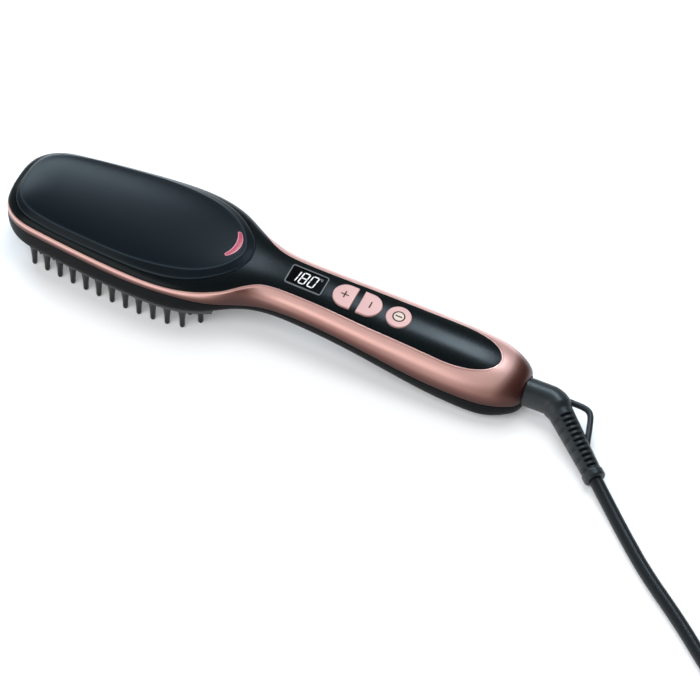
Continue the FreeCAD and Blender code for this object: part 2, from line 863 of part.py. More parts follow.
def heater_leads():
    """Two insulated wires from the circuit board through the neck to the heater."""
    start, radius = along("neck_at") + size("board_start") + 6, 0.9
    leads = []
    for side in (-1, 1):
        y = side * 6.0
        points = [Vector(start, y, board_underside(start) - radius),
                  Vector(along("neck_at") - 4, y, board_underside(start) - 2),
                  Vector(along("shoulder_at"), y, CLAMP_TOP + 3),
                  Vector(along("ptc_at") + size("clamp_length") / 2 - 8, y * 2, CLAMP_TOP + radius)]
        leads.append(bent_rod(points, radius, full_bends(points)))
    return Part.makeCompound(leads)


def board_underside(x):
    """Height of the circuit board's lower face at one place along it."""
    run = (x - along("neck_at")) / math.cos(math.radians(DECK_TILT))
    drop = size("board_drop") + size("board_thick")
    return DECK.multVec(Vector(run, 0, -drop)).z


heater_clamp()
ptc_heaters()
screw_group("heater_screws", [Vector(x, y, CLAMP_TOP) for x, y in heater_screw_places()],
            Vector(0, 0, -1), "heater_screw_shank - 0.05", "heater_screw_head",
            "clamp_thick + ptc_thick + 1.2", "1.6")
thermal_fuse()
feature("temperature_sensor", temperature_sensor())
feature("heater_leads", heater_leads())

# ---------------------------------------------------------------- controls
strip_body("main_board", "board_length", "board_width", "board_thick",
           DECK.multiply(Placement(Vector(size("board_start") + size("board_length") / 2, 0,
                                          -size("board_drop") - size("board_thick")), Rotation())))


def display_bezel():
    """Thin grey frame round the display window."""
    body = new_body("display_bezel", on_deck("display_at", DECK_LOW))
    sketch = new_sketch(body, "bezel_plan")
    rectangle(sketch, "display_length", "display_width")
    rectangle(sketch, "( display_length - 2 * bezel_rim )", "( display_width - 2 * bezel_rim )")
    pad = add_pad(body, sketch, "deck_thick + 0.2")
    rim = size("display_length") / 2 - 0.01
    rounded(body, pad, lambda edge: upright(edge) and abs(edge.BoundBox.XMax) > rim, 0.4)


def display_window():
    """Dark window inside the frame."""
    low = -size("window_thick")
    body = new_body("display_window", on_deck("display_at", low))
    sketch = new_sketch(body, "window_plan")
    rectangle(sketch, "( display_length - 2 * bezel_rim )", "( display_width - 2 * bezel_rim )")
    add_pad(body, sketch, "window_thick")


def display_module():
    """Seven-segment module between the circuit board and the window."""
    body = new_body("display_module", on_deck("display_at", -size("board_drop")))
    sketch = new_sketch(body, "module_plan")
    rectangle(sketch, "( display_length - 2 * bezel_rim )", "( display_width - 2 * bezel_rim )")
    add_pad(body, sketch, "board_drop - window_thick")


def d_sketch(body, name, grow, height=None):
    """A half circle closed by a square end, grown by an expression."""
    sketch = new_sketch(body, name, height=height)
    radius = float(sketch.evalExpression(bound(f"button_half + {grow}")))
    run = float(sketch.evalExpression(bound(f"button_straight + {grow}")))
    arc = Part.ArcOfCircle(Part.Circle(Vector(), Vector(0, 0, 1), radius), math.pi / 2, 1.5 * math.pi)
    sketch.addGeometry(arc, False)
    corners = [Vector(0, -radius, 0), Vector(run, -radius, 0), Vector(run, radius, 0), Vector(0, radius, 0)]
    for index in range(3):
        sketch.addGeometry(Part.LineSegment(corners[index], corners[index + 1]), False)
    constrain = sketch.addConstraint
    constrain(Sketcher.Constraint("Coincident", 0, 3, -1, 1))
    constrain(Sketcher.Constraint("Coincident", 0, 2, 1, 1))
    constrain(Sketcher.Constraint("Coincident", 1, 2, 2, 1))
    constrain(Sketcher.Constraint("Coincident", 2, 2, 3, 1))
    constrain(Sketcher.Constraint("Coincident", 3, 2, 0, 1))
    constrain(Sketcher.Constraint("Horizontal", 1))
    constrain(Sketcher.Constraint("Vertical", 2))
    constrain(Sketcher.Constraint("Horizontal", 3))
    constrain(Sketcher.Constraint("PointOnObject", 0, 1, -2))
    index = constrain(Sketcher.Constraint("Radius", 0, radius))
    sketch.setExpression(f"Constraints[{index}]", bound(f"button_half + {grow}"))
    index = constrain(Sketcher.Constraint("DistanceX", 1, 2, run))
    sketch.setExpression(f"Constraints[{index}]", bound(f"button_straight + {grow}"))
    return sketch


def d_button(name, at, turn):
    """A key with a flange under the shell that keeps it from falling out."""
    body = new_body(name, on_deck(at, BUTTON_DROP, turn))
    flange = d_sketch(body, f"{name}_flange", "button_flange")
    add_pad(body, flange, "flange_thick")
    face = d_sketch(body, f"{name}_face", "0", "flange_thick")
    pad = add_pad(body, face, "deck_thick + button_play + button_proud")
    top = size("flange_thick") + size("deck_thick") + size("button_play") + size("button_proud")
    rounded(body, pad, level_at(top), 0.4)


def power_button():
    """Round key, turned."""
    body = new_body("power_button", on_deck("power_at", BUTTON_DROP))
    sketch = new_sketch(body, "power_half", "XZ_Plane")
    top = "flange_thick + deck_thick + button_play + button_proud"
    rim = "power_radius + button_flange"
    polygon(sketch, [("0", "0"), (rim, "0"), (rim, "flange_thick"), ("power_radius", "flange_thick"),
                     ("power_radius", f"{top} - 0.4"), ("power_radius - 0.4", top),
                     ("power_radius - 1.6", top), ("power_radius - 2", f"{top} - 0.3"),
                     ("0", f"{top} - 0.3")])
    add_revolution(body, sketch, "V_Axis")


def tact_switches():
    """Push switches under the keys: a square body with a round plunger."""
    board, side = -size("board_drop"), size("switch_side")
    stem_top = BUTTON_DROP - size("button_travel") - 0.05
    switches = []
    for at, shift in (("plus_at", -1), ("minus_at", 1), ("power_at", 0)):
        case = Part.makeBox(side, side, size("switch_body"), Vector(shift - side / 2, -side / 2, 0))
        stem = Part.makeCylinder(size("switch_stem"), stem_top - board, Vector(shift, 0, 0))
        switch = case.fuse(stem)
        switch.Placement = on_deck(at, board)
        switches.append(switch)
    return Part.makeCompound(switches)


display_bezel()
display_window()
display_module()
d_button("plus_button", "plus_at", 0)
d_button("minus_button", "minus_at", 180)
power_button()
feature("tact_switches", tact_switches())

# ---------------------------------------------------------------- handle inside
strip_body("ion_generator", "ion_length", "ion_width", "ion_height",
           Placement(Vector(along("ion_at"), 0, ion_floor()), Rotation()))


def ion_outlet():
    """Flanged nozzle with the emitter needle, on the underside of the neck."""
    body = new_body("ion_outlet", Placement(Vector(along("outlet_at"), 0, size("neck_keel")), Rotation()))
    sketch = new_sketch(body, "outlet_half", "XZ_Plane")
    radius = "outlet_radius - 0.1"
    polygon(sketch, [("0", "1"), ("1", "1"), ("1", "0.4"), (radius, "0.4"), (radius, "3"),
                     ("outlet_radius + 1", "3"), ("outlet_radius + 1", "4"), ("0", "4")])
    add_revolution(body, sketch, "V_Axis")


ion_outlet()
screw_group("case_screws", [Vector(along(at), 0, screw_parting(at) - size("screw_seat")) for at in SCREWS],
            Vector(0, 0, 1), "screw_shank - 0.05", "screw_head", "screw_length", "1.8")


def ring_body(name, inner, outer, length, start):
    """A plain ring on the swivel's axis."""
    body = new_body(name, Placement(Vector(start, 0, size("swivel_level")), Rotation()))
    sketch = new_sketch(body, f"{name}_half")
    polygon(sketch, [("0", inner), (length, inner), (length, outer), ("0", outer)])
    add_revolution(body, sketch)
    return body


ring_body("swivel_bush", "journal_radius + journal_play",
          "journal_radius + journal_play + bush_wall", "bush_length", BUSH_START)


ELBOW_START = END_FACE + 0.3
BEND = Vector(END_FACE + size("elbow_run"), 0, size("swivel_level"))
SLEEVE = Rotation(Vector(0, 0, 1), size("relief_side")).multVec(
    Rotation(Vector(0, 1, 0), -size("relief_dip")).multVec(Vector(1, 0, 0)))


def strain_relief():
    """Journal, elbow and tapered ribbed sleeve, moulded in one over the lead."""
    journal = swivel_bore(JOURNAL, FLANGE_START, ELBOW_START)
    flange = swivel_bore(BUSH_OUTER - 0.2, FLANGE_START, FLANGE_END)
    bend, half_turn = size("elbow_bend"), SLEEVE.getAngle(Vector(1, 0, 0)) / 2
    run = bend * math.tan(half_turn)
    start, sleeve_start = Vector(ELBOW_START, 0, BEND.z), BEND + SLEEVE * run
    elbow = bent_rod([start, BEND, sleeve_start + SLEEVE * 1.5], size("elbow_radius"), [bend])
    taper = size("relief_length") - run - size("collar_length")
    first, last = size("relief_start"), size("relief_end")
    shoulder = Part.makeCone(size("elbow_radius"), first, 2.5, sleeve_start + SLEEVE * 1.4, SLEEVE)
    cone = Part.makeCone(first, last, taper, sleeve_start, SLEEVE)
    collar_start = sleeve_start + SLEEVE * taper
    collar = Part.makeCylinder(size("collar_radius"), size("collar_length"), collar_start, SLEEVE)
    rims = [edge for edge in collar.Edges if isinstance(edge.Curve, Part.Circle)]
    collar = collar.makeFillet(1.2, rims)
    relief = journal.fuse([flange, elbow, shoulder, cone, collar])
    return biggest(relief.cut(relief_slots(collar_start)).removeSplitter())


def relief_slots(end):
    """Cuts on the upper far side that let the sleeve bend."""
    side = SLEEVE.cross(Vector(0, 0, 1)).normalize() * -1
    outward = (side + Vector(0, 0, 0.75)).normalize()
    across = SLEEVE.cross(outward)
    turn = Rotation(outward, across, SLEEVE, "XYZ")
    cuts = []
    for step in range(int(size("slot_count"))):
        middle = end - SLEEVE * (size("slot_pitch") * (step + 0.5))
        share = step / size("slot_count")
        radius = size("relief_end") + (size("relief_start") - size("relief_end")) * share
        cut = Part.makeBox(8, 20, size("slot_width"), Vector(radius - size("slot_depth"), -10, 0))
        cut.Placement = Placement(middle, turn)
        cuts.append(cut)
    return Part.makeCompound(cuts)


def hanging_loop(relief):
    """Rod that stands off the elbow, for hanging the brush up."""
    corner = BEND + Vector(size("loop_reach"), size("loop_side"), -1.2)
    start = BEND + Vector(3.0, size("loop_side") - 0.6, 0)
    landing = BEND + SLEEVE * size("loop_landing")
    return biggest(bent_rod([start, corner, landing], size("loop_rod"), [4.0]).cut(relief))


def slip_rings():
    """Stepped pin that carries the two sliding contacts of the swivel."""
    body = new_body("slip_rings", Placement(Vector(CONTACT_START, 0, size("swivel_level")), Rotation()))
    sketch = new_sketch(body, "rings_half")
    inner, step = "contact_radius - 1.4", "contact_length / 2"
    polygon(sketch, [("0", "0"), ("0", inner), (step, inner), (step, "contact_radius"),
                     ("contact_length", "contact_radius"), ("contact_length", "0")])
    add_revolution(body, sketch)


def contact_block():
    """Insulating block in the handle with the two spring contacts' bores."""
    radius, play = size("contact_radius"), size("journal_play")
    low, high = CONTACT_FLOOR, size("swivel_level") + radius + 2
    body = block((CONTACT_START + 0.6, -radius - 4, low), (FLANGE_START - 1.2, radius + 4, high))
    middle = CONTACT_START + size("contact_length") / 2
    body = body.cut(swivel_bore(radius - 1.4 + play, CONTACT_START - 1, middle + 1))
    body = body.cut(swivel_bore(radius + play, middle - 0.2, FLANGE_START))
    return body


RELIEF = strain_relief()
feature("strain_relief", RELIEF)
feature("hanging_loop", hanging_loop(RELIEF))
slip_rings()
feature("contact_block", contact_block())

# ---------------------------------------------------------------- lead
CORD = size("cord_diameter")
CORD_START = BEND + SLEEVE * (size("relief_length") + 0.3)
COIL = Vector(335.0, -90.6, 0)
COIL_TURN = size("coil_outer") - CORD / 2
COIL_HEIGHT = CORD * size("coil_layers")

# Where the lead lies between the sleeve and the coil, and from the coil to the plug.
LEAD = [
    CORD_START,
    CORD_START + SLEEVE * 13,
    Vector(217.2, -54.2, 3.5),
    Vector(236.0, -71.9, 3.5),
    Vector(259.9, -90.4, 3.5),
    Vector(281.2, -109.3, 3.5),
    Vector(302.8, -127.6, 3.5),
]
TAIL = [
    Vector(384.0, -90.6, 10.5),
    Vector(384.2, -71.0, 9.9),
    Vector(384.6, -51.0, 6.85),
    Vector(384.6, -34.0, 6.85),
]


def coil():
    """The put-away length: one ring of the coil's outer shape."""
    disc = Part.makeCylinder(size("coil_outer"), COIL_HEIGHT, COIL)
    return disc.cut(Part.makeCylinder(size("coil_inner"), COIL_HEIGHT, COIL))


def tie():
    """Strap round the coil's turns, with its inner face on them."""
    thick, width = size("tie_thick"), size("tie_width")
    low, high = size("coil_inner") - thick, size("coil_outer") + thick
    side = width / 2
    outside = block((low, -side, 0), (high, side, COIL_HEIGHT + thick))
    inside = block((low + thick, -side, thick), (high - thick, side, COIL_HEIGHT))
    strap = outside.cut(inside)
    strap.Placement = Placement(COIL, Rotation(Vector(0, 0, 1), 75))
    return strap


TIE = tie()
COIL_SOLID = biggest(coil().cut(TIE))


def lead_tube(name, points):
    """A stretch of the lead, trimmed where it meets the coil."""
    bends = full_bends(points)
    tube = bent_rod(points, CORD / 2, bends)
    path = rounded_path(points, bends)
    print(name, "bend radii", [round(bend, 1) for bend in bends],
          "volume ratio", round(tube.Volume / (path.Length * math.pi * CORD ** 2 / 4), 4),
          "length", round(path.Length, 1))
    feature(name, biggest(tube.cut(coil())))


lead_tube("cord_lead", LEAD)
feature("cord_coil", COIL_SOLID)
lead_tube("cord_tail", TAIL)
feature("cord_tie", TIE)


def plug_section(body, name, height, width, thick, corner):
    """One eight-cornered section of the plug, across its axis."""
    sketch = new_sketch(body, name, height=height)
    x, y, c = f"( {width} ) / 2", f"( {thick} ) / 2", corner
    quarter = [(x, f"{y} - {c}"), (f"{x} - {c}", y)]
    signs = (("", ""), ("0 - ", ""), ("0 - ", "0 - "), ("", "0 - "))
    corners = []
    for index, (across, up) in enumerate(signs):
        pair = quarter if index % 2 == 0 else quarter[::-1]
        corners += [(f"{across}( {px} )" if across else px, f"{up}( {py} )" if up else py) for px, py in pair]
    polygon(sketch, corners)
    return sketch


def plug_body():
    """Flat two-pin plug, narrowing to its own short sleeve."""
    body = new_body("plug_body", Placement(TAIL[-1], Rotation(Vector(1, 0, 0), -90)))
    sections = [
        plug_section(body, "plug_root", "0", "cord_diameter + 3", "cord_diameter + 3", "3"),
        plug_section(body, "plug_sleeve", "plug_length * 0.3", "plug_width * 0.4", "plug_thick * 0.85", "3"),
        plug_section(body, "plug_waist", "plug_length * 0.62", "plug_width", "plug_thick", "4.2"),
        plug_section(body, "plug_face", "plug_length", "plug_width * 0.94", "plug_thick * 0.94", "4.2"),
    ]
    loft = body.newObject("PartDesign::AdditiveLoft", "plug_loft")
    loft.Profile = sections[0]
    loft.Sections = sections[1:]
    loft.Ruled = True


def plug_pins():
    """Two round pins with rounded ends."""
    pins = []
    radius, length = size("pin_radius"), size("pin_length")
    face = TAIL[-1] + Vector(0, size("plug_length"), 0)
    for side in (-1, 1):
        base = face + Vector(side * size("pin_spacing") / 2, 0, 0)
        pin = Part.makeCylinder(radius, length - radius, base, Vector(0, 1, 0))
        pins.append(pin.fuse(Part.makeSphere(radius, base + Vector(0, length - radius, 0))))
    return Part.makeCompound([pin.removeSplitter() for pin in pins])


plug_body()
feature("plug_pins", plug_pins())

# ---------------------------------------------------------------- files
NOT_PARTS = ("ptc_strip_1", "ptc_strip_3", "heater_screws_pattern", "case_screws_pattern")
PART_TYPES = ("Part::Feature", "Part::Compound", "Part::Cylinder", "PartDesign::Body")


def sub_parts():
    return [obj for obj in doc.Objects if obj.TypeId in PART_TYPES and obj.Label not in NOT_PARTS]


def export():
    """Write each sub-part to a file of its own name, once every one is sound."""
    doc.recompute()
    for obj in doc.Objects:
        if "Invalid" in obj.State or "Error" in obj.State:
            raise RuntimeError(f"{obj.Label} failed to recompute: {obj.State}")
    os.makedirs("parts", exist_ok=True)
    for part in sub_parts():
        shape = part.Shape
        if shape.isNull() or not shape.isValid() or not shape.Solids:
            raise RuntimeError(f"{part.Label} has no sound solid")
    for part in sub_parts():
        part.Shape.exportStep(f"parts/{part.Label}.step")
        print(part.Label, len(part.Shape.Solids), "solids,", round(part.Shape.Volume, 1), "mm3")


export()
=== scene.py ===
# %% [markdown]
# # A heated hair brush with a display and a mains lead
# The real object is an electric brush that straightens hair. A wide oval head
# carries a heated plate with bristles below and a satin panel above, a rose
# metallic band runs all the way round, and a black insert along the handle
# holds a display and three keys. A stiff elbow at the handle's end swivels and
# carries the lead.
#
# The CAD model already fixes every place and size. This lesson dresses it: each
# visible piece is modelled again as a fine mesh on the same measurements, and
# gets a finish made from shader nodes.

import math

import bmesh
import bpy
import numpy as np
from mathutils import Matrix, Vector


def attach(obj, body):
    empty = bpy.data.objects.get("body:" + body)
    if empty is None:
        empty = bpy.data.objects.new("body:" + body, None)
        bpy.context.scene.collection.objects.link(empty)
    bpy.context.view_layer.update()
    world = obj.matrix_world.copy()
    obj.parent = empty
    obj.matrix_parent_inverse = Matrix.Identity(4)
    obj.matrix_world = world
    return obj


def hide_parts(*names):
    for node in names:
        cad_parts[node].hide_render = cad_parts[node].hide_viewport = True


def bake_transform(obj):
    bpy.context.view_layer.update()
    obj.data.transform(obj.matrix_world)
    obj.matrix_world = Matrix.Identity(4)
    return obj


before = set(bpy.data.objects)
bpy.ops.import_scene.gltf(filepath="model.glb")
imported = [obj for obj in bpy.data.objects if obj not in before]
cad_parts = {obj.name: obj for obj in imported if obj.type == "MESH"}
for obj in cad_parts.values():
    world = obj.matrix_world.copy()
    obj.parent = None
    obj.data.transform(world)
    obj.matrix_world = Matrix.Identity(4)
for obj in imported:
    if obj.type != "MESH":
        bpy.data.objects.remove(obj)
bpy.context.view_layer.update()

# %% [markdown]
# Everything below is measured in millimetres, because that is how a maker
# thinks of a brush, and Blender wants metres, so one factor turns one into the
# other. X runs from the head to the lead, Z is up, and the zero point lies in
# the middle of the brush on the surface that its bristles stand on.

# %% Units and the ends of the brush
MM = 0.001
HEAD_END = -142.8
END_FACE = 142.6


def metres(points):
    """Points in millimetres as a list of vectors in metres."""
    return [Vector([float(c) * MM for c in point]) for point in points]


print("brush", round(END_FACE - HEAD_END, 1), "mm long")

# %% [markdown]
# ## Camera
# The brush is seen from above and in front of its handle, from far enough away
# that its lines hardly converge. A long lens does that. A camera could be aimed
# with a Track To constraint, but three plain turns can be read off and set one by
# one: round the vertical, up over the object, and a small roll about its own axis.

# %% Camera
AZIMUTH, ELEVATION, TILT = 21.66, 51.17, 3.18
CAMERA_AWAY = 1895.0
LENS = 190.3
HANDLE_SPOT = Vector((15.75, 0, 0))
OFF_CENTRE = Vector((27.57, -13.73, 0))
FAR_CLIP = 10.0

turn = Matrix.Rotation(math.radians(AZIMUTH), 4, "Z")
tip = Matrix.Rotation(math.radians(90 - ELEVATION), 4, "X")
roll = Matrix.Rotation(math.radians(TILT), 4, "Z")
view_frame = turn @ tip @ roll
aim = HANDLE_SPOT + view_frame @ OFF_CENTRE

camera = bpy.data.objects.new("camera", bpy.data.cameras.new("camera"))
bpy.context.scene.collection.objects.link(camera)
camera.data.lens = LENS
camera.data.clip_end = FAR_CLIP
away = view_frame @ Vector((0, 0, CAMERA_AWAY))
camera.matrix_world = Matrix.Translation((aim + away) * MM) @ view_frame
bpy.context.scene.camera = camera
bpy.context.scene.view_settings.view_transform = "Standard"
print("camera at", [round(c, 3) for c in camera.matrix_world.translation])

# %% [markdown]
# ## Light and floor
# The brush lies in a room with pale walls and a dark ceiling, and the wall behind
# it is darker than the one in front. The world could be one plain colour, but
# black plastic shows little more than what it mirrors, and under an even sky it
# turns grey. So two gradients are multiplied: one follows how steeply a ray points
# up, the other how far it points to the bright side of the room.

# %% Room
WALL_LEVEL, CEILING_LEVEL = 0.48, 0.07
WALL_TOP, CEILING_START = 0.05, 0.8
BRIGHT_SIDE = (-0.45, -0.89, 0)
FAR_SHARE, FAR_UNTIL, BRIGHT_FROM = 0.3, -0.35, 0.4
DAYLIGHT = (0.96, 0.985, 1.0, 1)

world = bpy.data.worlds.new("studio")
bpy.context.scene.world = world
world.use_nodes = True
room, room_links = world.node_tree.nodes, world.node_tree.links
direction = room.new("ShaderNodeTexCoord")
split = room.new("ShaderNodeSeparateXYZ")
steep = room.new("ShaderNodeMapRange")
steep.interpolation_type = "SMOOTHSTEP"
steep.inputs["From Min"].default_value = WALL_TOP
steep.inputs["From Max"].default_value = CEILING_START
steep.inputs["To Min"].default_value = WALL_LEVEL
steep.inputs["To Max"].default_value = CEILING_LEVEL
room_links.new(direction.outputs["Generated"], split.inputs["Vector"])
room_links.new(split.outputs["Z"], steep.inputs["Value"])
side = room.new("ShaderNodeVectorMath")
side.operation = "DOT_PRODUCT"
side.inputs[1].default_value = BRIGHT_SIDE
dim = room.new("ShaderNodeMapRange")
dim.interpolation_type = "SMOOTHSTEP"
dim.inputs["From Min"].default_value = FAR_UNTIL
dim.inputs["From Max"].default_value = BRIGHT_FROM
dim.inputs["To Min"].default_value = FAR_SHARE
level = room.new("ShaderNodeMath")
level.operation = "MULTIPLY"
room_links.new(direction.outputs["Generated"], side.inputs[0])
room_links.new(side.outputs["Value"], dim.inputs["Value"])
room_links.new(steep.outputs["Result"], level.inputs[0])
room_links.new(dim.outputs["Result"], level.inputs[1])
room_links.new(level.outputs["Value"], room["Background"].inputs["Strength"])
room["Background"].inputs["Color"].default_value = DAYLIGHT
print("room", WALL_LEVEL, "at the walls,", CEILING_LEVEL, "at the ceiling")

# %% [markdown]
# A product table is lit by large soft lamps. The key lamp hangs almost overhead, a
# little behind, and the fill lamp hangs in front, so the shadow is soft and falls
# towards the viewer. Both are kept out of mirrored views, as a lattice would keep
# them, so black plastic stays black. The other three are there to be mirrored: a
# small cool one behind the handle draws the highlight along the insert, a cool one
# behind the head puts a sheen on the panel, and a wide one in front lights the
# flank. Area lamps are used, because a point or a sun would give hard edges.

# %% Lamps
NEUTRAL, COOL = (0.97, 0.985, 1.0), (0.7, 0.87, 1.0)


def soft_lamp(name, place, target, size, power, colour=NEUTRAL, mirrored=True):
    """A rectangular area lamp that faces a point, in millimetres and watts."""
    lamp = bpy.data.lights.new(name, "AREA")
    lamp.shape = "RECTANGLE"
    lamp.size, lamp.size_y = size[0] * MM, size[1] * MM
    lamp.energy = power
    lamp.color = colour
    holder = bpy.data.objects.new(name, lamp)
    holder.visible_glossy = mirrored
    bpy.context.scene.collection.objects.link(holder)
    spot = Vector(place) * MM
    holder.location = spot
    holder.rotation_euler = (Vector(target) * MM - spot).to_track_quat("-Z", "Y").to_euler()
    return holder


soft_lamp("key_lamp", (40, 120, 1000), (0, 0, 0), (640, 480), 6.0, mirrored=False)
soft_lamp("fill_lamp", (60, -560, 900), (0, 0, 0), (700, 500), 6.8, mirrored=False)
soft_lamp("strip_lamp", (55, 545, 860), (95, 0, 33), (230, 230), 5.4, COOL)
soft_lamp("sheen_lamp", (-680, 640, 600), (-80, 0, 40), (700, 420), 8.0, COOL)
soft_lamp("front_lamp", (-470, -860, 520), (0, 0, 20), (950, 560), 3.2)
print("lamps", len(bpy.data.lights))

# %% [markdown]
# The floor is a sheet of matt white paper. A brighter lamp would take it to pure
# white, but would bleach the brush as well. So the paper keeps its colour and its
# shadow, and a faint glow is added for the rays that the camera and mirrors see.

# %% Floor
FLOOR_REACH, FLOOR_DROP = 8.0, 0.0002
FLOOR_WHITE, FLOOR_GLOW = 0.72, 0.15


def any_of(nodes, links, outputs):
    """The sum of several outputs, held to 1."""
    total = outputs[0]
    for output in outputs[1:]:
        add = nodes.new("ShaderNodeMath")
        add.operation = "ADD"
        add.use_clamp = True
        links.new(total, add.inputs[0])
        links.new(output, add.inputs[1])
        total = add.outputs["Value"]
    return total


def pale_floor():
    """A matt white floor, in metres, with its glow."""
    mesh = bpy.data.meshes.new("floor")
    corners = [(-1, -1), (1, -1), (1, 1), (-1, 1)]
    mesh.from_pydata([(x * FLOOR_REACH, y * FLOOR_REACH, 0) for x, y in corners], [], [(0, 1, 2, 3)])
    floor = bpy.data.objects.new("floor", mesh)
    bpy.context.scene.collection.objects.link(floor)
    floor.location.z = -FLOOR_DROP
    paper = bpy.data.materials.new("floor_paper")
    paper.use_nodes = True
    nodes, links = paper.node_tree.nodes, paper.node_tree.links
    matt = nodes["Principled BSDF"]
    matt.inputs["Base Color"].default_value = (FLOOR_WHITE, FLOOR_WHITE, FLOOR_WHITE, 1)
    matt.inputs["Roughness"].default_value = 0.9
    matt.inputs["Specular IOR Level"].default_value = 0.1
    glow = nodes.new("ShaderNodeEmission")
    glow.inputs["Color"].default_value = (1, 1, 1, 1)
    path = nodes.new("ShaderNodeLightPath")
    seen = any_of(nodes, links, [path.outputs[name] for name in
                                 ("Is Camera Ray", "Is Glossy Ray", "Is Transmission Ray")])
    level = nodes.new("ShaderNodeMath")
    level.operation = "MULTIPLY"
    level.inputs[1].default_value = FLOOR_GLOW
    add = nodes.new("ShaderNodeAddShader")
    links.new(seen, level.inputs[0])
    links.new(level.outputs["Value"], glow.inputs["Strength"])
    links.new(matt.outputs["BSDF"], add.inputs[0])
    links.new(glow.outputs["Emission"], add.inputs[1])
    links.new(add.outputs["Shader"], nodes["Material Output"].inputs["Surface"])
    mesh.materials.append(paper)
    return floor


print("floor", pale_floor().name)

# %% [markdown]
# ## Finishes
# Nearly every surface here is moulded plastic, lacquer or rubber. They differ in
# colour, in gloss and in how coarse the grain of the mould is. One helper sets up
# the three things that make plastic look real: a slow drift of the colour, an
# uneven gloss, and a fine grain as bump. Numbers that hold all over the surface
# are set on the shader itself.

# %% One helper for moulded finishes
DRIFT_SCALE = 40
GLOSS_SPREAD = 0.12


def finish(name, colour, rough, metal=0.0, grain=0.25, depth=0.004, drift=0.12, shine=0.5):
    """A surface with drifting colour, uneven gloss and a fine grain, sizes in millimetres."""
    material = bpy.data.materials.new(name)
    material.use_nodes = True
    nodes, links = material.node_tree.nodes, material.node_tree.links
    shader = nodes["Principled BSDF"]
    shader.inputs["Metallic"].default_value = metal
    shader.inputs["Specular IOR Level"].default_value = shine
    place = nodes.new("ShaderNodeTexCoord")

    slow = nodes.new("ShaderNodeTexNoise")
    slow.inputs["Scale"].default_value = DRIFT_SCALE
    slow.inputs["Detail"].default_value = 3
    links.new(place.outputs["Object"], slow.inputs["Vector"])
    tint = nodes.new("ShaderNodeMix")
    tint.data_type = "RGBA"
    tint.inputs["A"].default_value = (*[c * (1 - drift) for c in colour], 1)
    tint.inputs["B"].default_value = (*[min(1, c * (1 + drift)) for c in colour], 1)
    links.new(slow.outputs["Fac"], tint.inputs["Factor"])
    links.new(tint.outputs["Result"], shader.inputs["Base Color"])

    fine = nodes.new("ShaderNodeTexNoise")
    fine.inputs["Scale"].default_value = 1 / (grain * MM)
    fine.inputs["Detail"].default_value = 2
    links.new(place.outputs["Object"], fine.inputs["Vector"])
    gloss = nodes.new("ShaderNodeMapRange")
    gloss.inputs["To Min"].default_value = rough * (1 - GLOSS_SPREAD)
    gloss.inputs["To Max"].default_value = min(1, rough * (1 + GLOSS_SPREAD))
    links.new(fine.outputs["Fac"], gloss.inputs["Value"])
    links.new(gloss.outputs["Result"], shader.inputs["Roughness"])
    bump = nodes.new("ShaderNodeBump")
    bump.inputs["Distance"].default_value = depth * MM
    bump.inputs["Strength"].default_value = 1
    links.new(fine.outputs["Fac"], bump.inputs["Height"])
    links.new(bump.outputs["Normal"], shader.inputs["Normal"])
    return material


print("colour drifts over about", round(1000 / DRIFT_SCALE), "mm")

# %% [markdown]
# The lit figures of the display and the red crescent give off light of their own,
# so they get a little emission over a plain colour.

# %% Glowing finishes
def glowing(name, colour, strength, rough=0.35):
    """A moulded finish that also glows in its own colour."""
    material = finish(name, colour, rough, grain=0.2, depth=0.002, drift=0.05)
    shader = material.node_tree.nodes["Principled BSDF"]
    shader.inputs["Emission Color"].default_value = (*colour, 1)
    shader.inputs["Emission Strength"].default_value = strength
    return material


print("a glow takes the finish's own colour")

# %% [markdown]
# The black parts aren't one black. The shell is satin, the panel a bluish
# anthracite, the lower shell dull and the bristles glossy, and it is these steps
# that tell the mouldings apart. The lacquers of band and keys are warm, and the
# band holds metal flakes, which the keys hardly do.

# %% The visible finishes
SHELL_BLACK = finish("shell_satin_black", (0.0025, 0.0038, 0.0042), 0.27,
                     grain=0.3, depth=0.002, shine=0.14)
PANEL_BLACK = finish("panel_anthracite", (0.03, 0.047, 0.06), 0.3,
                     grain=0.22, depth=0.003, drift=0.06, shine=0.12)
ROSE_METAL = finish("band_rose_metal", (0.78, 0.455, 0.4), 0.34,
                    metal=0.6, grain=0.12, depth=0.0015, drift=0.03)
KEY_ROSE = finish("key_rose_lacquer", (0.46, 0.27, 0.25), 0.42,
                  metal=0.08, grain=0.12, depth=0.0015, shine=0.2)
LOWER_BLACK = finish("lower_shell_black", (0.002, 0.0025, 0.003), 0.45,
                     grain=0.35, depth=0.004, shine=0.06)
BRISTLE_BLACK = finish("bristle_gloss_black", (0.004, 0.0045, 0.005), 0.3,
                       grain=0.5, depth=0.002, shine=0.3)
PLATE_COAT = finish("plate_ceramic_coat", (0.018, 0.02, 0.022), 0.38,
                    metal=0.3, grain=0.15, depth=0.003)
RUBBER = finish("lead_rubber", (0.007, 0.008, 0.009), 0.42, grain=0.3, depth=0.004, shine=0.22)
ELBOW_BLACK = finish("elbow_satin_black", (0.009, 0.0115, 0.013), 0.44,
                     grain=0.3, depth=0.003, shine=0.5)
GLASS_BLACK = finish("window_black_gloss", (0.0008, 0.0008, 0.001), 0.16,
                     grain=2.0, depth=0.0005, shine=0.05)
BEZEL_GREY = finish("bezel_satin_grey", (0.1, 0.106, 0.112), 0.4,
                    grain=0.15, depth=0.002, shine=0.3)
MARK_BROWN = finish("mark_dark_brown", (0.035, 0.015, 0.01), 0.5,
                    grain=0.15, depth=0.002, shine=0.1)
MARK_IVORY = finish("mark_champagne", (0.47, 0.37, 0.3), 0.4,
                    metal=0.1, grain=0.15, depth=0.002, shine=0.2)
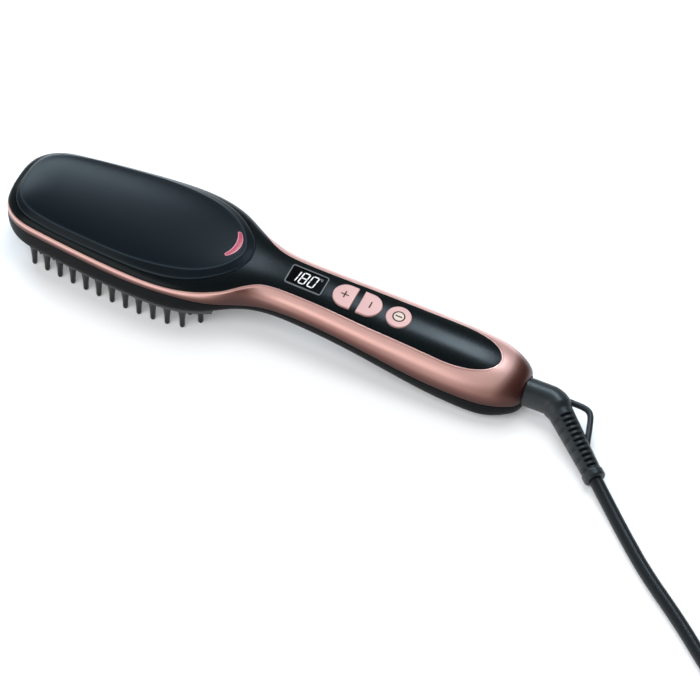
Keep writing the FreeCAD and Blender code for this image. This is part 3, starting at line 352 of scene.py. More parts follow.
DIGIT_WHITE = glowing("digit_white", (0.5, 0.48, 0.47), 0.3)
LIGHT_RED = glowing("crescent_red", (0.25, 0.012, 0.03), 0.05)
LIGHT_RIM = glowing("crescent_rim", (0.46, 0.13, 0.18), 0.03)
PIN_METAL = finish("pin_nickel", (0.7, 0.69, 0.66), 0.25,
                   metal=1.0, grain=0.2, depth=0.001, drift=0.03)
print("finishes", len(bpy.data.materials))

# %% [markdown]
# The band's light and shade are painted into its colour. The flank is full and pale
# with painted light, painted shade darkens it to a dark brown at the lower edge, and
# a painted highlight makes a fine bright line along the black shell. A texture could
# be painted, but the band's mesh already knows where its edges are. It carries a
# number from 0 at the lower edge to 1 at the upper one, and a colour ramp turns that
# number into painted light and shade. The panel gets the same treatment: painted
# highlights make its crisp edges paler.

# %% Painted light and shade that the mesh gives
# Painted light and shade of the band: painted shade at the lower edge, a full flank, then a dark line
# and a painted highlight along the black shell
BAND_LIGHT_AND_SHADE = [
    (0.0, (0.05, 0.028, 0.024)), (0.24, (0.14, 0.08, 0.068)),
    (0.4, (0.56, 0.5, 0.48)), (0.52, (0.95, 0.95, 0.95)),
    (0.8, (0.95, 0.94, 0.94)), (0.88, (0.55, 0.5, 0.48)),
    (0.94, (0.6, 0.55, 0.53)), (1.0, (1, 1, 1)),
]
# The panel's ramp darkens all of its colour evenly and paints a highlight on the bead and the rim
PANEL_TONE_AND_HIGHLIGHT = [(0.0, (0.13, 0.13, 0.13)), (0.35, (0.15, 0.15, 0.15)), (1.0, (0.6, 0.56, 0.53))]


def painted_light_across(material, tones):
    """Multiply a finish's colour by painted light and shade that the mesh gives point by point."""
    nodes, links = material.node_tree.nodes, material.node_tree.links
    shader = nodes["Principled BSDF"]
    plain = shader.inputs["Base Color"].links[0].from_socket
    across = nodes.new("ShaderNodeAttribute")
    across.attribute_name = "across"
    ramp = nodes.new("ShaderNodeValToRGB")
    ramp.color_ramp.interpolation = "B_SPLINE"
    stops = ramp.color_ramp.elements
    while len(stops) < len(tones):
        stops.new(0.5)
    for stop, (place, colour) in zip(stops, tones):
        stop.position = place
        stop.color = (*colour, 1)
    multiply = nodes.new("ShaderNodeMix")
    multiply.data_type = "RGBA"
    multiply.blend_type = "MULTIPLY"
    multiply.inputs["Factor"].default_value = 1
    links.new(across.outputs["Fac"], ramp.inputs["Fac"])
    links.new(plain, multiply.inputs["A"])
    links.new(ramp.outputs["Color"], multiply.inputs["B"])
    links.new(multiply.outputs["Result"], shader.inputs["Base Color"])


# The band's ramp paints light and shade; the panel's ramp paints highlights on its bead and rim
painted_light_across(ROSE_METAL, BAND_LIGHT_AND_SHADE)
painted_light_across(PANEL_BLACK, PANEL_TONE_AND_HIGHLIGHT)
print("tones of the lacquer", len(BAND_LIGHT_AND_SHADE), "and of the panel", len(PANEL_TONE_AND_HIGHLIGHT))

# %% [markdown]
# ## From points to a piece
# A piece starts as a list of points and faces. It could be drawn by hand in edit
# mode, but a list can be worked out from the same sizes as the CAD model. The
# helper welds the doubled points, turns all the faces outwards, shades the piece
# smooth apart from its crisp edges, and lets it ride on the body that carries it.

# %% Make a piece
CRISP_ANGLE = 35
WELD_DISTANCE, THIN_EDGE = 2e-6, 1e-7


def shade(mesh, crisp=CRISP_ANGLE):
    """Smooth shading with edges over an angle kept crisp."""
    mesh.shade_smooth()
    mesh.set_sharp_from_angle(angle=math.radians(crisp))


def piece(name, points, faces, material, body="brush", crisp=CRISP_ANGLE, across=None):
    """A mesh through points in millimetres, riding on one body of the frame."""
    mesh = bpy.data.meshes.new(name)
    mesh.from_pydata(metres(points), [], faces)
    if across is not None:
        mesh.attributes.new("across", "FLOAT", "POINT").data.foreach_set("value", across)
    tidy = bmesh.new()
    tidy.from_mesh(mesh)
    bmesh.ops.remove_doubles(tidy, verts=tidy.verts, dist=WELD_DISTANCE)
    bmesh.ops.dissolve_degenerate(tidy, edges=tidy.edges, dist=THIN_EDGE)
    bmesh.ops.recalc_face_normals(tidy, faces=tidy.faces)
    tidy.to_mesh(mesh)
    tidy.free()
    shade(mesh, crisp)
    mesh.materials.append(material)
    made = bpy.data.objects.new(name, mesh)
    bpy.context.scene.collection.objects.link(made)
    if body:
        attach(made, body)
    return made


def grid_faces(rows, columns, around=False):
    """Four-cornered faces of a grid of points, closed round its columns if asked."""
    faces = []
    last = columns if around else columns - 1
    for row in range(rows - 1):
        for column in range(last):
            right = (column + 1) % columns
            here, above = row * columns, (row + 1) * columns
            faces.append((here + column, here + right, above + right, above + column))
    return faces


def ring_faces(rings, sides):
    """Faces of rings that follow each other in a circle, so the last joins the first."""
    last = (rings - 1) * sides
    closing = [(step, last + step, last + (step + 1) % sides, (step + 1) % sides)
               for step in range(sides)]
    return grid_faces(rings, sides, around=True) + closing


print("edges above", CRISP_ANGLE, "degrees stay crisp")

# %% [markdown]
# ## The lead
# The lead comes first, because it fixes how much room the model takes. It is a
# two-core mains lead, 7 mm thick. It leaves the sleeve, comes down on the table
# and runs out of view, and the rest of it is wound up as in the box, with its
# plug beside the coil. Its line is one smooth spline: the same places that the
# CAD route has, and between them the turns of the coil, which a loop works out.

# %% The route of the lead
# BEND is the corner of the elbow's axis, SLEEVE the way the sleeve points from it
CORD, CORD_LENGTH = 7.0, 1.7
BEND = Vector((157.8, 0, 13.5))
SLEEVE = Vector((0.7367, -0.661, -0.1426)).normalized()
RELIEF_LENGTH, CORD_GAP = 47.9, 0.3
CORD_START = BEND + SLEEVE * (RELIEF_LENGTH + CORD_GAP)
LEAD = [
    CORD_START,
    CORD_START + SLEEVE * 13,
    Vector((217.2, -54.2, 3.5)),
    Vector((236.0, -71.9, 3.5)),
    Vector((259.9, -90.4, 3.5)),
    Vector((281.2, -109.3, 3.5)),
]
TAIL = [
    Vector((384.2, -71.0, 9.9)),
    Vector((384.6, -51.0, 6.85)),
    Vector((384.6, -34.0, 6.85)),
]
print("lead starts", [round(c, 1) for c in CORD_START], "and ends", [round(c, 1) for c in TAIL[-1]])

# %% [markdown]
# The coil is what a careful hand winds: three turns inwards on the table, a short
# climb over them at the middle, and as many turns outwards on top, so that the plug
# comes out last. A helix modifier would keep one radius. A loop that works out the
# spline's own points can change radius and height as it goes round.

# %% The turns of the coil
COIL = Vector((335.0, -90.6, 0))
OUTER_TURN, INNER_TURN = 49.0, 26.0
TURNS_DOWN, TURNS_UP, TURNS_CLIMBING = 3.0, 3.36, 0.5
POINTS_A_TURN = 16
ENTRY_ANGLE = -130.8


def coil_point(turns, radius, height):
    """A point of the coil after so many turns, in millimetres."""
    angle = math.radians(ENTRY_ANGLE + 360 * turns)
    return COIL + Vector((radius * math.cos(angle), radius * math.sin(angle), height))


def coil_points():
    """Turns that wind in on the table, climb at the middle and wind out on top."""
    points = []
    total = TURNS_DOWN + TURNS_UP
    count = round(total * POINTS_A_TURN)
    for step in range(count + 1):
        turns = total * step / count
        if turns < TURNS_DOWN:
            share = turns / TURNS_DOWN
            radius = OUTER_TURN + (INNER_TURN - OUTER_TURN) * share
        else:
            share = (turns - TURNS_DOWN) / TURNS_UP
            radius = INNER_TURN + (OUTER_TURN - INNER_TURN) * share
        climb = min(1, max(0, (turns - TURNS_DOWN) / TURNS_CLIMBING + 0.5))
        points.append(coil_point(turns, radius, CORD / 2 + CORD * climb))
    return points


LEAD_ROUTE = LEAD + coil_points() + TAIL
print("route points", len(LEAD_ROUTE))

# %% [markdown]
# A spline has no thickness of its own. A curve's bevel would give it some, but the
# lead has to bend with the swivel when the elbow turns. So the curve is read back
# as a fine line of points, and a round tube is drawn along it as a mesh.

# %% A smooth line read back from a spline
def smooth_route(name, route):
    """Points along a quadratic spline whose control points are the route, in metres."""
    curve = bpy.data.curves.new(name, "CURVE")
    curve.dimensions = "3D"
    curve.resolution_u = 12
    spline = curve.splines.new("NURBS")
    spline.points.add(len(route) - 1)
    for knot, spot in zip(spline.points, metres(route)):
        knot.co = (*spot, 1)
    spline.order_u = 3
    spline.use_endpoint_u = True
    holder = bpy.data.objects.new(name, curve)
    mesh = bpy.data.meshes.new_from_object(holder)
    line = [vertex.co.copy() for vertex in mesh.vertices]
    bpy.data.objects.remove(holder)
    bpy.data.curves.remove(curve)
    bpy.data.meshes.remove(mesh)
    return line


LEAD_LINE = smooth_route("lead_route", LEAD_ROUTE)
lead_length = sum((b - a).length for a, b in zip(LEAD_LINE, LEAD_LINE[1:]))
print("lead", round(lead_length, 3), "m,", len(LEAD_LINE), "points")

# %% [markdown]
# A tube needs a ring of points at every point of its line. Rings that follow the
# bending of the line would twist where it straightens. So each ring starts at its
# own top. That would fail on a line that runs straight up, and none here does.

# %% A tube along a line
UP = Vector((0, 0, 1))


def tube_rings(line, radius, sides):
    """Rings of points round a line, each ring starting at its top."""
    count = len(line)
    rings = []
    for index, centre in enumerate(line):
        before, after = line[max(index - 1, 0)], line[min(index + 1, count - 1)]
        ahead = (after - before).normalized()
        side = ahead.cross(UP).normalized()
        top = side.cross(ahead)
        for step in range(sides):
            angle = 2 * math.pi * step / sides
            rings.append(centre + (top * math.cos(angle) + side * math.sin(angle)) * radius)
    return rings


def capped(rings, sides):
    """Faces of a tube of rings, with a flat cap at each end."""
    count = len(rings) // sides
    faces = grid_faces(count, sides, around=True)
    faces.append(tuple(reversed(range(sides))))
    faces.append(tuple(range((count - 1) * sides, count * sides)))
    return faces


print("four rings of eight points give", len(capped(range(32), 8)), "faces")

# %% [markdown]
# The lead is one tube along its line. It rides on no body, so none of it turns with
# the elbow. An armature could bend it.

# %% The lead's tube
LEAD_SIDES = 16
millimetre_line = [spot / MM for spot in LEAD_LINE]
lead_rings = tube_rings(millimetre_line, CORD / 2, LEAD_SIDES)
lead = piece("lead_cable", lead_rings, capped(lead_rings, LEAD_SIDES), RUBBER, body=None)
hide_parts("cord_lead", "cord_coil", "cord_tail")
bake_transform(lead)
print("lead faces", len(lead.data.polygons))

# %% [markdown]
# ## The outer form
# The brush is one smooth moulded form. The CAD model describes it by cross
# sections: how wide it is, how high its crown stands, where it is widest, where
# the band's lower seam runs and how low its keel hangs. A section is a
# superellipse, which is rounder or squarer as its power asks. The form could be
# modelled as a subdivided cage, but a cage never lies quite on the CAD form. So the
# same sections are used here, joined by a smooth spline.

# %% Sections of the form
# from the head end, half width, crown, widest level, band's seam, keel, squareness
STATIONS = [
    (0.22, 0.0, 32.6, 31.5, 29.0, 29.6, 3.0),
    (0.3, 7.0, 34.6, 31.5, 29.0, 26.6, 3.0),
    (2.7, 17.2, 37.6, 31.5, 29.0, 19.5, 4.5),
    (10.5, 24.5, 40.0, 31.5, 29.0, 15.3, 6.0),
    (26.1, 28.6, 41.4, 31.5, 29.0, 14.5, 6.5),
    (52.0, 31.9, 42.1, 31.5, 29.0, 14.5, 6.5),
    (78.8, 34.3, 42.3, 31.5, 29.0, 14.5, 6.5),
    (103.8, 33.4, 41.7, 31.5, 29.0, 14.5, 6.5),
    (118.8, 28.6, 40.8, 31.5, 26.0, 14.9, 6.0),
    (130.8, 21.9, 39.8, 31.2, 23.4, 15.8, 5.0),
    (142.0, 18.0, 38.6, 30.0, 24.0, 16.2, 4.2),
    (166.8, 16.8, 37.1, 26.6, 25.0, 14.0, 3.0),
    (190.8, 18.0, 35.7, 23.9, 23.5, 10.6, 2.6),
    (214.8, 19.3, 34.3, 20.4, 20.1, 5.7, 2.5),
    (238.8, 20.0, 33.0, 17.0, 16.7, 0.7, 2.6),
    (254.8, 20.0, 31.7, 16.0, 15.6, 0.0, 3.0),
    (270.0, 18.4, 29.6, 15.0, 14.8, 0.3, 3.2),
    (279.0, 14.8, 27.0, 14.2, 14.1, 2.0, 2.8),
    (284.6, 10.0, 22.9, 13.5, 13.5, 4.6, 2.4),
    (285.4, 7.9, 21.2, 13.5, 13.5, 5.7, 2.2),
]
AT, HALF, CROWN, WAIST, SEAM, KEEL, SQUARE = range(7)
CROWN_POWER = 2.4
HEAD_SEAM = 34.1
WALL = 2.2
print("sections", len(STATIONS))

# %% [markdown]
# Straight lines between the sections would leave flat facets, and a Blender curve
# carries a place, a radius and a tilt, not seven values. So one natural cubic
# spline carries the whole row of values. Its knots are as far apart as the outline
# is long between them, which keeps the blunt front end round.

# %% A smooth line through the sections
def smooth_line(points, fold_start=False, fold_end=False):
    """A natural cubic spline by the length along its first two columns. A folded
    end repeats its neighbours on the other side, so the line crosses the axis square."""
    rows = [list(map(float, point)) for point in points]
    mirrored = [[row[0], -row[1]] + row[2:] for row in rows]
    front = [mirrored[2], mirrored[1]] if fold_start else []
    back = [mirrored[-2], mirrored[-3]] if fold_end else []
    table = np.array(front + rows + back)
    gaps = np.hypot(np.diff(table[:, 0]), np.diff(table[:, 1]))
    knots = np.concatenate([[0], np.cumsum(gaps)])
    knots -= knots[len(front)]
    slope = np.diff(table, axis=0) / gaps[:, None]
    matrix, right = np.eye(len(knots)), np.zeros_like(table)
    for row in range(1, len(knots) - 1):
        matrix[row, row - 1:row + 2] = gaps[row - 1], 2 * (gaps[row - 1] + gaps[row]), gaps[row]
        right[row] = 6 * (slope[row] - slope[row - 1])
    bend = np.linalg.solve(matrix, right)

    def value(t):
        """The line's row of values at each length along it."""
        t = np.atleast_1d(t)
        k = np.clip(np.searchsorted(knots, t, side="right") - 1, 0, len(gaps) - 1)
        h, a, b = gaps[k], (knots[k + 1] - t) / gaps[k], (t - knots[k]) / gaps[k]
        curve = (a ** 3 - a)[:, None] * bend[k] + (b ** 3 - b)[:, None] * bend[k + 1]
        return a[:, None] * table[k] + b[:, None] * table[k + 1] + curve * (h ** 2 / 6)[:, None]

    return value, knots[len(front) + len(rows) - 1]


DENSE_STEPS = 4000
form_at, FORM_LENGTH = smooth_line(STATIONS, fold_start=True)
DENSE = np.linspace(0, FORM_LENGTH, DENSE_STEPS)
DENSE_FORM = form_at(DENSE)
print("form length along its side", round(float(FORM_LENGTH), 1), "mm")

# %% [markdown]
# A point of the surface is named by the section it lies on and by its direction
# from the widest level: 0 degrees is the side, 90 the crown, -90 the keel. That
# is how the parting lines are drawn later, as a direction for every section.

# %% Points on a section
def unit_section(angle, power):
    """The unit superellipse in a direction."""
    c, s = np.cos(angle), np.sin(angle)
    reach = (np.abs(c) ** power + np.abs(s) ** power) ** (-1 / power)
    return reach * c, reach * s


def form_points(rows, angles):
    """Points on the form, a row of angles for each section; 90 degrees is the crown."""
    rows = rows[:, :, None]
    crown_side = angles >= 0
    power = np.where(crown_side, CROWN_POWER, rows[:, SQUARE])
    across, up = unit_section(angles, power)
    tall = np.where(crown_side, rows[:, CROWN] - rows[:, WAIST], rows[:, WAIST] - rows[:, KEEL])
    x = np.broadcast_to(HEAD_END + rows[:, AT], angles.shape)
    return np.stack([x, rows[:, HALF] * across, rows[:, WAIST] + tall * up], axis=2)


def crown_height(at, y):
    """Height of the upper surface over a place, by distance from the head end and across."""
    half, crown, waist = [np.interp(at, DENSE_FORM[:, AT], DENSE_FORM[:, column])
                          for column in (HALF, CROWN, WAIST)]
    share = np.clip(np.abs(y) / np.maximum(half, 1e-6), 0, 1)
    return waist + (crown - waist) * (1 - share ** CROWN_POWER) ** (1 / CROWN_POWER)


print("crown at its highest", round(float(crown_height(78.8, 0.0)), 1), "mm")

# %% [markdown]
# ## Where the pieces part
# The black upper shell, the rose band and the black lower shell share this form.
# The upper shell ends at one level on the head, and on the handle it narrows to
# an insert with a rounded end. Cutting the form with two knives would leave a
# corner where the two edges meet in the neck. A real parting line has none, so the
# edge is worked out for every section and the crossing is blended.

# %% Parting lines
# plan of the insert: distance from the head end, half width
INSERT = [
    (126.0, 26.6), (134.8, 17.9), (139.0, 14.8), (143.5, 12.5), (149.0, 11.2),
    (159.0, 10.6), (176.0, 10.7), (198.0, 11.6), (220.0, 12.2), (238.0, 12.8),
    (248.0, 12.8), (256.0, 11.7), (263.0, 9.3), (268.0, 5.4), (270.2, 0.0),
]
HEAD_STOPS, NECK_BLEND = 160, 3.0
OPENING_INSET = 2.6
OPENING_END = 122.1
FAR = 99.0


def half_outline(table, fold_start=True, samples=1500):
    """Dense points along one side of a plan outline that closes on the axis."""
    line, length = smooth_line(table, fold_start=fold_start, fold_end=True)
    return line(np.linspace(0, length, samples))


INSERT_LINE = half_outline(INSERT, fold_start=False)
print("insert ends", round(float(INSERT_LINE[-1, 0]), 1), "mm from the head end")

# %% [markdown]
# Each parting line is worked out from the form, so a change of the form moves all
# the seams with it. A width in plan becomes a direction round the section, and
# every piece is then a strip between two directions.

# %% Widths and directions of the seams
def soft_least(a, b, reach):
    """The lesser of two widths, with their crossing rounded off."""
    mix = np.maximum(reach - np.abs(a - b), 0) / reach
    return np.minimum(a, b) - mix * mix * reach / 4


def shell_half(rows):
    """Half width of the black upper shell in plan."""
    rise = np.maximum(rows[:, CROWN] - rows[:, WAIST], 1e-6)
    level = np.clip((HEAD_SEAM - rows[:, WAIST]) / rise, 0, 1)
    head = rows[:, HALF] * (1 - level ** CROWN_POWER) ** (1 / CROWN_POWER)
    head = np.where(rows[:, AT] > HEAD_STOPS, FAR, head)
    grip = np.interp(rows[:, AT], INSERT_LINE[:, 0], INSERT_LINE[:, 1], left=FAR, right=0)
    return np.maximum(soft_least(head, grip, NECK_BLEND), 0)


def crown_angle(rows, half):
    """The direction of a point on the upper half that lies this far across."""
    share = np.clip(half / np.maximum(rows[:, HALF], 1e-6), 0, 1)
    up = (1 - share ** CROWN_POWER) ** (1 / CROWN_POWER)
    return np.arctan2(up, share)


def seam_angle(rows):
    """The direction of the band's lower edge."""
    drop = np.maximum(rows[:, WAIST] - rows[:, KEEL], 1e-6)
    down = np.clip((rows[:, WAIST] - rows[:, SEAM]) / drop, 0, 1)
    across = (1 - down ** rows[:, SQUARE]) ** (1 / rows[:, SQUARE])
    return -np.arctan2(down, across)


def opening_half(rows):
    """Half width of the opening for the brush plate, in plan."""
    plan = DENSE_FORM[:, :2]
    ahead = np.gradient(plan, axis=0)
    ahead /= np.linalg.norm(ahead, axis=1)[:, None]
    inset = plan + np.stack([ahead[:, 1], -ahead[:, 0]], axis=1) * OPENING_INSET
    inset = inset[inset[:, 1] > 0]
    order = np.argsort(inset[:, 0])
    return np.interp(rows[:, AT], inset[order, 0], inset[order, 1], left=0)


print("upper shell up to", round(float(shell_half(DENSE_FORM).max()), 1), "mm each side")

# %% [markdown]
# Even steps along the form would jump over the sharp turns of the parting lines.
# So the form is divided at the places where an edge starts or ends, and between
# two such places the steps start and end small.

# %% Rows of sections, closer together where a parting line turns
def place_where(column, value, rising):
    """Length along the form where one of its values is first passed."""
    passed = DENSE_FORM[:, column] > value if rising else DENSE_FORM[:, column] < value
    return DENSE[np.argmax(passed)]


SHELL_START = place_where(CROWN, HEAD_SEAM, True)
LOWER_START = place_where(KEEL, STATIONS[0][SEAM], False)
OPENING_START = place_where(AT, OPENING_INSET, True)
OPENING_STOP = place_where(AT, OPENING_END, True)
INSERT_STOP = place_where(AT, INSERT[-1][0], True)
# a length along the form, and the number of steps up to it
BREAKS = [(0, 0), (LOWER_START, 6), (SHELL_START, 6), (OPENING_START, 16),
          (OPENING_STOP, 96), (INSERT_STOP, 110), (FORM_LENGTH, 34)]


def eased(start, stop, count):
    """Steps that start and end small."""
    share = (1 - np.cos(np.linspace(0, math.pi, count + 1))) / 2
    return start + (stop - start) * share


STRETCHES = [eased(a[0], b[0], b[1])[1:] for a, b in zip(BREAKS, BREAKS[1:])]
LENGTHS = np.concatenate([[0.0]] + STRETCHES)
ROWS = form_at(LENGTHS)
ROWS[:, KEEL] = np.maximum(ROWS[:, KEEL], 0.0)
print("rows of sections", len(ROWS))

# %% [markdown]
# ## Rolled edges
# Two mouldings that meet never meet in a knife edge. Each edge turns inwards on a
# small radius, and the pair leaves the fine groove that catches the light along a
# real parting line. A bevel modifier would round every edge of the mesh, also
# where none is. So each shell is drawn as one strip across the form: over the outer
# face, round its rolled edge, down the wall and back along the inner face. One
# half is enough, because the brush is the same on both sides.

# %% Strips with rolled edges
ROLL = 0.32
ROLL_STEPS = 3
ON_THE_MIDDLE = 1e-4


def surface_normals(grid):
    """Outward directions of a grid of points on the form."""
    along = np.gradient(grid, axis=0)
    across = np.gradient(grid, axis=1)
    normal = np.cross(across, along)
    size = np.linalg.norm(normal, axis=2, keepdims=True)
    return normal / np.maximum(size, 1e-9)


def rolled(edge, normal, away):
    """Columns of points that turn from the outer face down into the wall."""
    columns = []
    roll = np.clip(edge[:, 1:2], 0, ROLL)
    for step in range(ROLL_STEPS + 1):
        angle = math.pi / 2 * step / ROLL_STEPS
        out, down = math.sin(angle) - 1, math.cos(angle) - 1
        columns.append(edge + away * (roll * out) + normal * (roll * down))
    columns.append(edge - normal * WALL)
    return columns


def edge_frame(grid, column, inner):
    """Normal and outward direction at one edge column of a grid."""
    normals = surface_normals(grid)[:, inner]
    along = np.gradient(grid[:, column], axis=0)
    along /= np.maximum(np.linalg.norm(along, axis=1, keepdims=True), 1e-9)
    away = np.cross(normals, along)
    lean = grid[:, column] - grid[:, inner]
    away *= np.sign(np.sum(away * lean, axis=1, keepdims=True))
    return normals, away


print("edges turn in", ROLL_STEPS, "steps over", ROLL, "mm")

# %% [markdown]
# A strip is one closed loop of columns: the outer face, a rolled edge, the inner
# face and back. A mirror modifier would do the second half, but it has to run
# before the Boolean cuts, so the mirror image is written out with the points.

# %% A strip and its mirror image
def strip(rows, low, high, columns, roll_low, roll_high):
    """A closed strip of the form between two directions, with the edges that are asked for."""
    share = np.linspace(0, 1, columns)
    angles = low[:, None] + (high - low)[:, None] * share
    outer = form_points(rows, angles)
    normals = surface_normals(outer)
    inner = outer - normals * WALL
    faces_across = [outer[:, c] for c in range(columns)]
    start, end = [], []
    if roll_low:
        normal, away = edge_frame(outer, 0, 1)
        start = rolled(outer[:, 0], normal, away)[::-1]
        faces_across = faces_across[1:]
    if roll_high:
        normal, away = edge_frame(outer, columns - 1, columns - 2)
        end = rolled(outer[:, -1], normal, away)
        faces_across = faces_across[:-1]
    back = [inner[:, c] for c in range(columns - 1, -1, -1)]
    return np.stack(start + faces_across + end + back, axis=1)


def both_sides(grid, ends=()):
    """Points and faces of a half strip and its mirror image, without faces on the middle plane."""
    count, columns = grid.shape[:2]
    grid = grid.copy()
    for row in ends:
        grid[row, :, 1] = 0
    grid[:, :, 1] = np.maximum(grid[:, :, 1], 0)
    half = grid.reshape(-1, 3)
    faces = []
    for face in grid_faces(count, columns, around=True):
        if max(half[corner][1] for corner in face) > ON_THE_MIDDLE:
            faces.append(face)
    mirrored = half * (1, -1, 1)
    shift = len(half)
    other = [tuple(corner + shift for corner in reversed(face)) for face in faces]
    return np.concatenate([half, mirrored]), faces + other


print("faces nearer the middle than", ON_THE_MIDDLE, "mm are left out")

# %% [markdown]
# ## Upper shell
# The upper shell is satin black. On the head it is only a rim round the panel, and
# behind that it runs on as the insert of the handle. The seat of the panel, the
# window of the display and the holes of the keys are cut out of it with a Boolean
# modifier, as a cutter would in the mould, so a pressed key sinks into its hole.

# %% Upper shell
SHELL_COLUMNS = 24
HAIR = 1e-9


def between(start, stop):
    """The sections from one length along the form to another."""
    return ROWS[(LENGTHS >= start - HAIR) & (LENGTHS <= stop + HAIR)]


shell_rows = between(SHELL_START, INSERT_STOP)
shell_edge = crown_angle(shell_rows, shell_half(shell_rows))
quarter = np.full(len(shell_rows), math.pi / 2)
shell_grid = strip(shell_rows, shell_edge, quarter, SHELL_COLUMNS, True, False)
shell_points, shell_faces = both_sides(shell_grid, ends=(0, -1))
top = piece("upper_shell", shell_points, shell_faces, SHELL_BLACK)
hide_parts("top_shell")
print("upper shell", len(top.data.polygons), "faces")

# %% [markdown]
# ## The rose band
# The band is a lacquered moulding that shows a thin line along the head and the
# whole flank of the handle, and closes in a ring behind the insert and at the
# nose. It could be a copy of the form with the two shells cut away, but such cuts
# leave ragged faces along a thin band. It is one more strip instead, between the
# edge of the upper shell and its own lower seam.

# %% Shape of the rose band
BAND_COLUMNS = 18
band_high = crown_angle(ROWS, shell_half(ROWS))
band_grid = strip(ROWS, seam_angle(ROWS), band_high, BAND_COLUMNS, True, True)
band_points, band_faces = both_sides(band_grid, ends=(0,))
print("band", len(band_faces), "faces")

# %% [markdown]
# Now the number that the band's painted light and shade follow. Over the flank it
# grows with the height on the band, so painted shade darkens the lower edge. Close to
# the black shell a painted highlight takes over as a bright edge. Where the neck turns
# under and where the handle ends, the number falls, which paints shade there.

# %% Painted light and shade of the rose band
# Painted light on the flank, a painted highlight along the shell's edge, and painted shade at the neck's
# turn and at the handle's end
FLANK_TONE = 0.82
EDGE_FADE, EDGE_PART, EDGE_HIGHLIGHT_GAIN = 1.8, 0.28, 1.8
TURN_AT, TURN_REACH, NECK_PAINTED_SHADE = 133.0, 11.0, 0.74
END_FROM, END_TO, END_PAINTED_SHADE = 271.0, 284.0, 0.75


def distance_to_line(points, line):
    """Distance from each point to the nearest of a line's points."""
    return np.linalg.norm(points[:, None] - line[None], axis=2).min(axis=1)


def band_light_and_shade():
    """Painted light and shade: 0, painted shade, at the band's lower edge, FLANK_TONE over the plain
    flank, 1, a painted highlight, along the edge of the black shell, and low again, painted shade, where
    the neck turns and at the handle's end."""
    edge_columns = ROLL_STEPS + 2
    face, back = np.linspace(0, 1, BAND_COLUMNS)[1:-1], np.linspace(1, 0, BAND_COLUMNS)
    way_up = np.concatenate([np.zeros(edge_columns), face, np.ones(edge_columns), back])
    upper_edge = form_points(ROWS, band_high[:, None])[:, 0]
    shell_line = upper_edge[(LENGTHS >= SHELL_START) & (LENGTHS <= INSERT_STOP)]
    outer = band_grid[:, edge_columns - 1:edge_columns + BAND_COLUMNS]
    tall = np.linalg.norm(np.diff(outer, axis=1), axis=2).sum(axis=1)[:, None]
    gap = np.array([distance_to_line(row, shell_line) for row in band_grid])
    near = np.clip(1 - gap / np.minimum(EDGE_FADE, EDGE_PART * tall), 0, 1)
    plain = FLANK_TONE * way_up * tall / np.maximum(way_up * tall + gap, 1e-6)
    at = ROWS[:, AT:AT + 1]
    end = np.clip((at - END_FROM) / (END_TO - END_FROM), 0, 1)
    # Painted shade where the neck turns under and at the handle's end
    plain *= 1 - NECK_PAINTED_SHADE * np.exp(-((at - TURN_AT) / TURN_REACH) ** 2)
    plain *= 1 - END_PAINTED_SHADE * end * end * (3 - 2 * end)
    # Near the black shell the painted highlight takes over
    edge_share = np.clip(near * EDGE_HIGHLIGHT_GAIN, 0, 1)
    return plain * (1 - edge_share) + (FLANK_TONE + (1 - FLANK_TONE) * near) * edge_share


band_painted_light = np.tile(band_light_and_shade().reshape(-1), 2)
band = piece("rose_band", band_points, band_faces, ROSE_METAL, across=band_painted_light)
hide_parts("side_band")
print("band tone from", round(float(band_painted_light.min()), 2), "to", round(float(band_painted_light.max()), 2))

# %% [markdown]
# ## Lower shell
# The lower shell is one black moulding from the nose to the lead. Under the head
# it is only a rim: the frame of the brush plate drops into its opening. The rim
# and the closed part behind it are two strips that share the section where the
# opening ends.

# %% Lower shell
RIM_COLUMNS, KEEL_COLUMNS = 20, 28
rim_rows = between(LOWER_START, OPENING_STOP)


def keel_angle(rows, half):
    """The direction of a point on the lower half that lies this far across."""
    share = np.clip(half / np.maximum(rows[:, HALF], 1e-6), 0, 1)
    down = (1 - share ** rows[:, SQUARE]) ** (1 / rows[:, SQUARE])
    return -np.arctan2(down, share)


rim_high = seam_angle(rim_rows)
rim_low = np.minimum(keel_angle(rim_rows, opening_half(rim_rows)), rim_high)
rim_grid = strip(rim_rows, rim_low, rim_high, RIM_COLUMNS, True, True)
rim_points, rim_faces = both_sides(rim_grid, ends=(0,))
back_rows = between(OPENING_STOP, FORM_LENGTH)
bottom = np.full(len(back_rows), -math.pi / 2)
back_grid = strip(back_rows, bottom, seam_angle(back_rows), KEEL_COLUMNS, False, True)
back_points, back_faces = both_sides(back_grid)
shift = len(rim_points)
lower_points = np.concatenate([rim_points, back_points])
lower_faces = rim_faces + [tuple(corner + shift for corner in face) for face in back_faces]
lower = piece("lower_case", lower_points, lower_faces, LOWER_BLACK)
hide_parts("lower_shell")
print("lower shell", len(lower.data.polygons), "faces")

# %% [markdown]
# ## Head panel
# The panel is a separate satin cover that sits in a seat of the upper shell. It
# rises from its edge in a short slope to a flat-topped plateau, and a fine bead
# runs round the plateau's edge. An extruded outline with a bevel would be flat on
# top, but this cover follows the crown of the head. So rings of points run from a
# line along its middle to its outline, and the height of each point follows from
# how near it is to the outline and to the plateau.

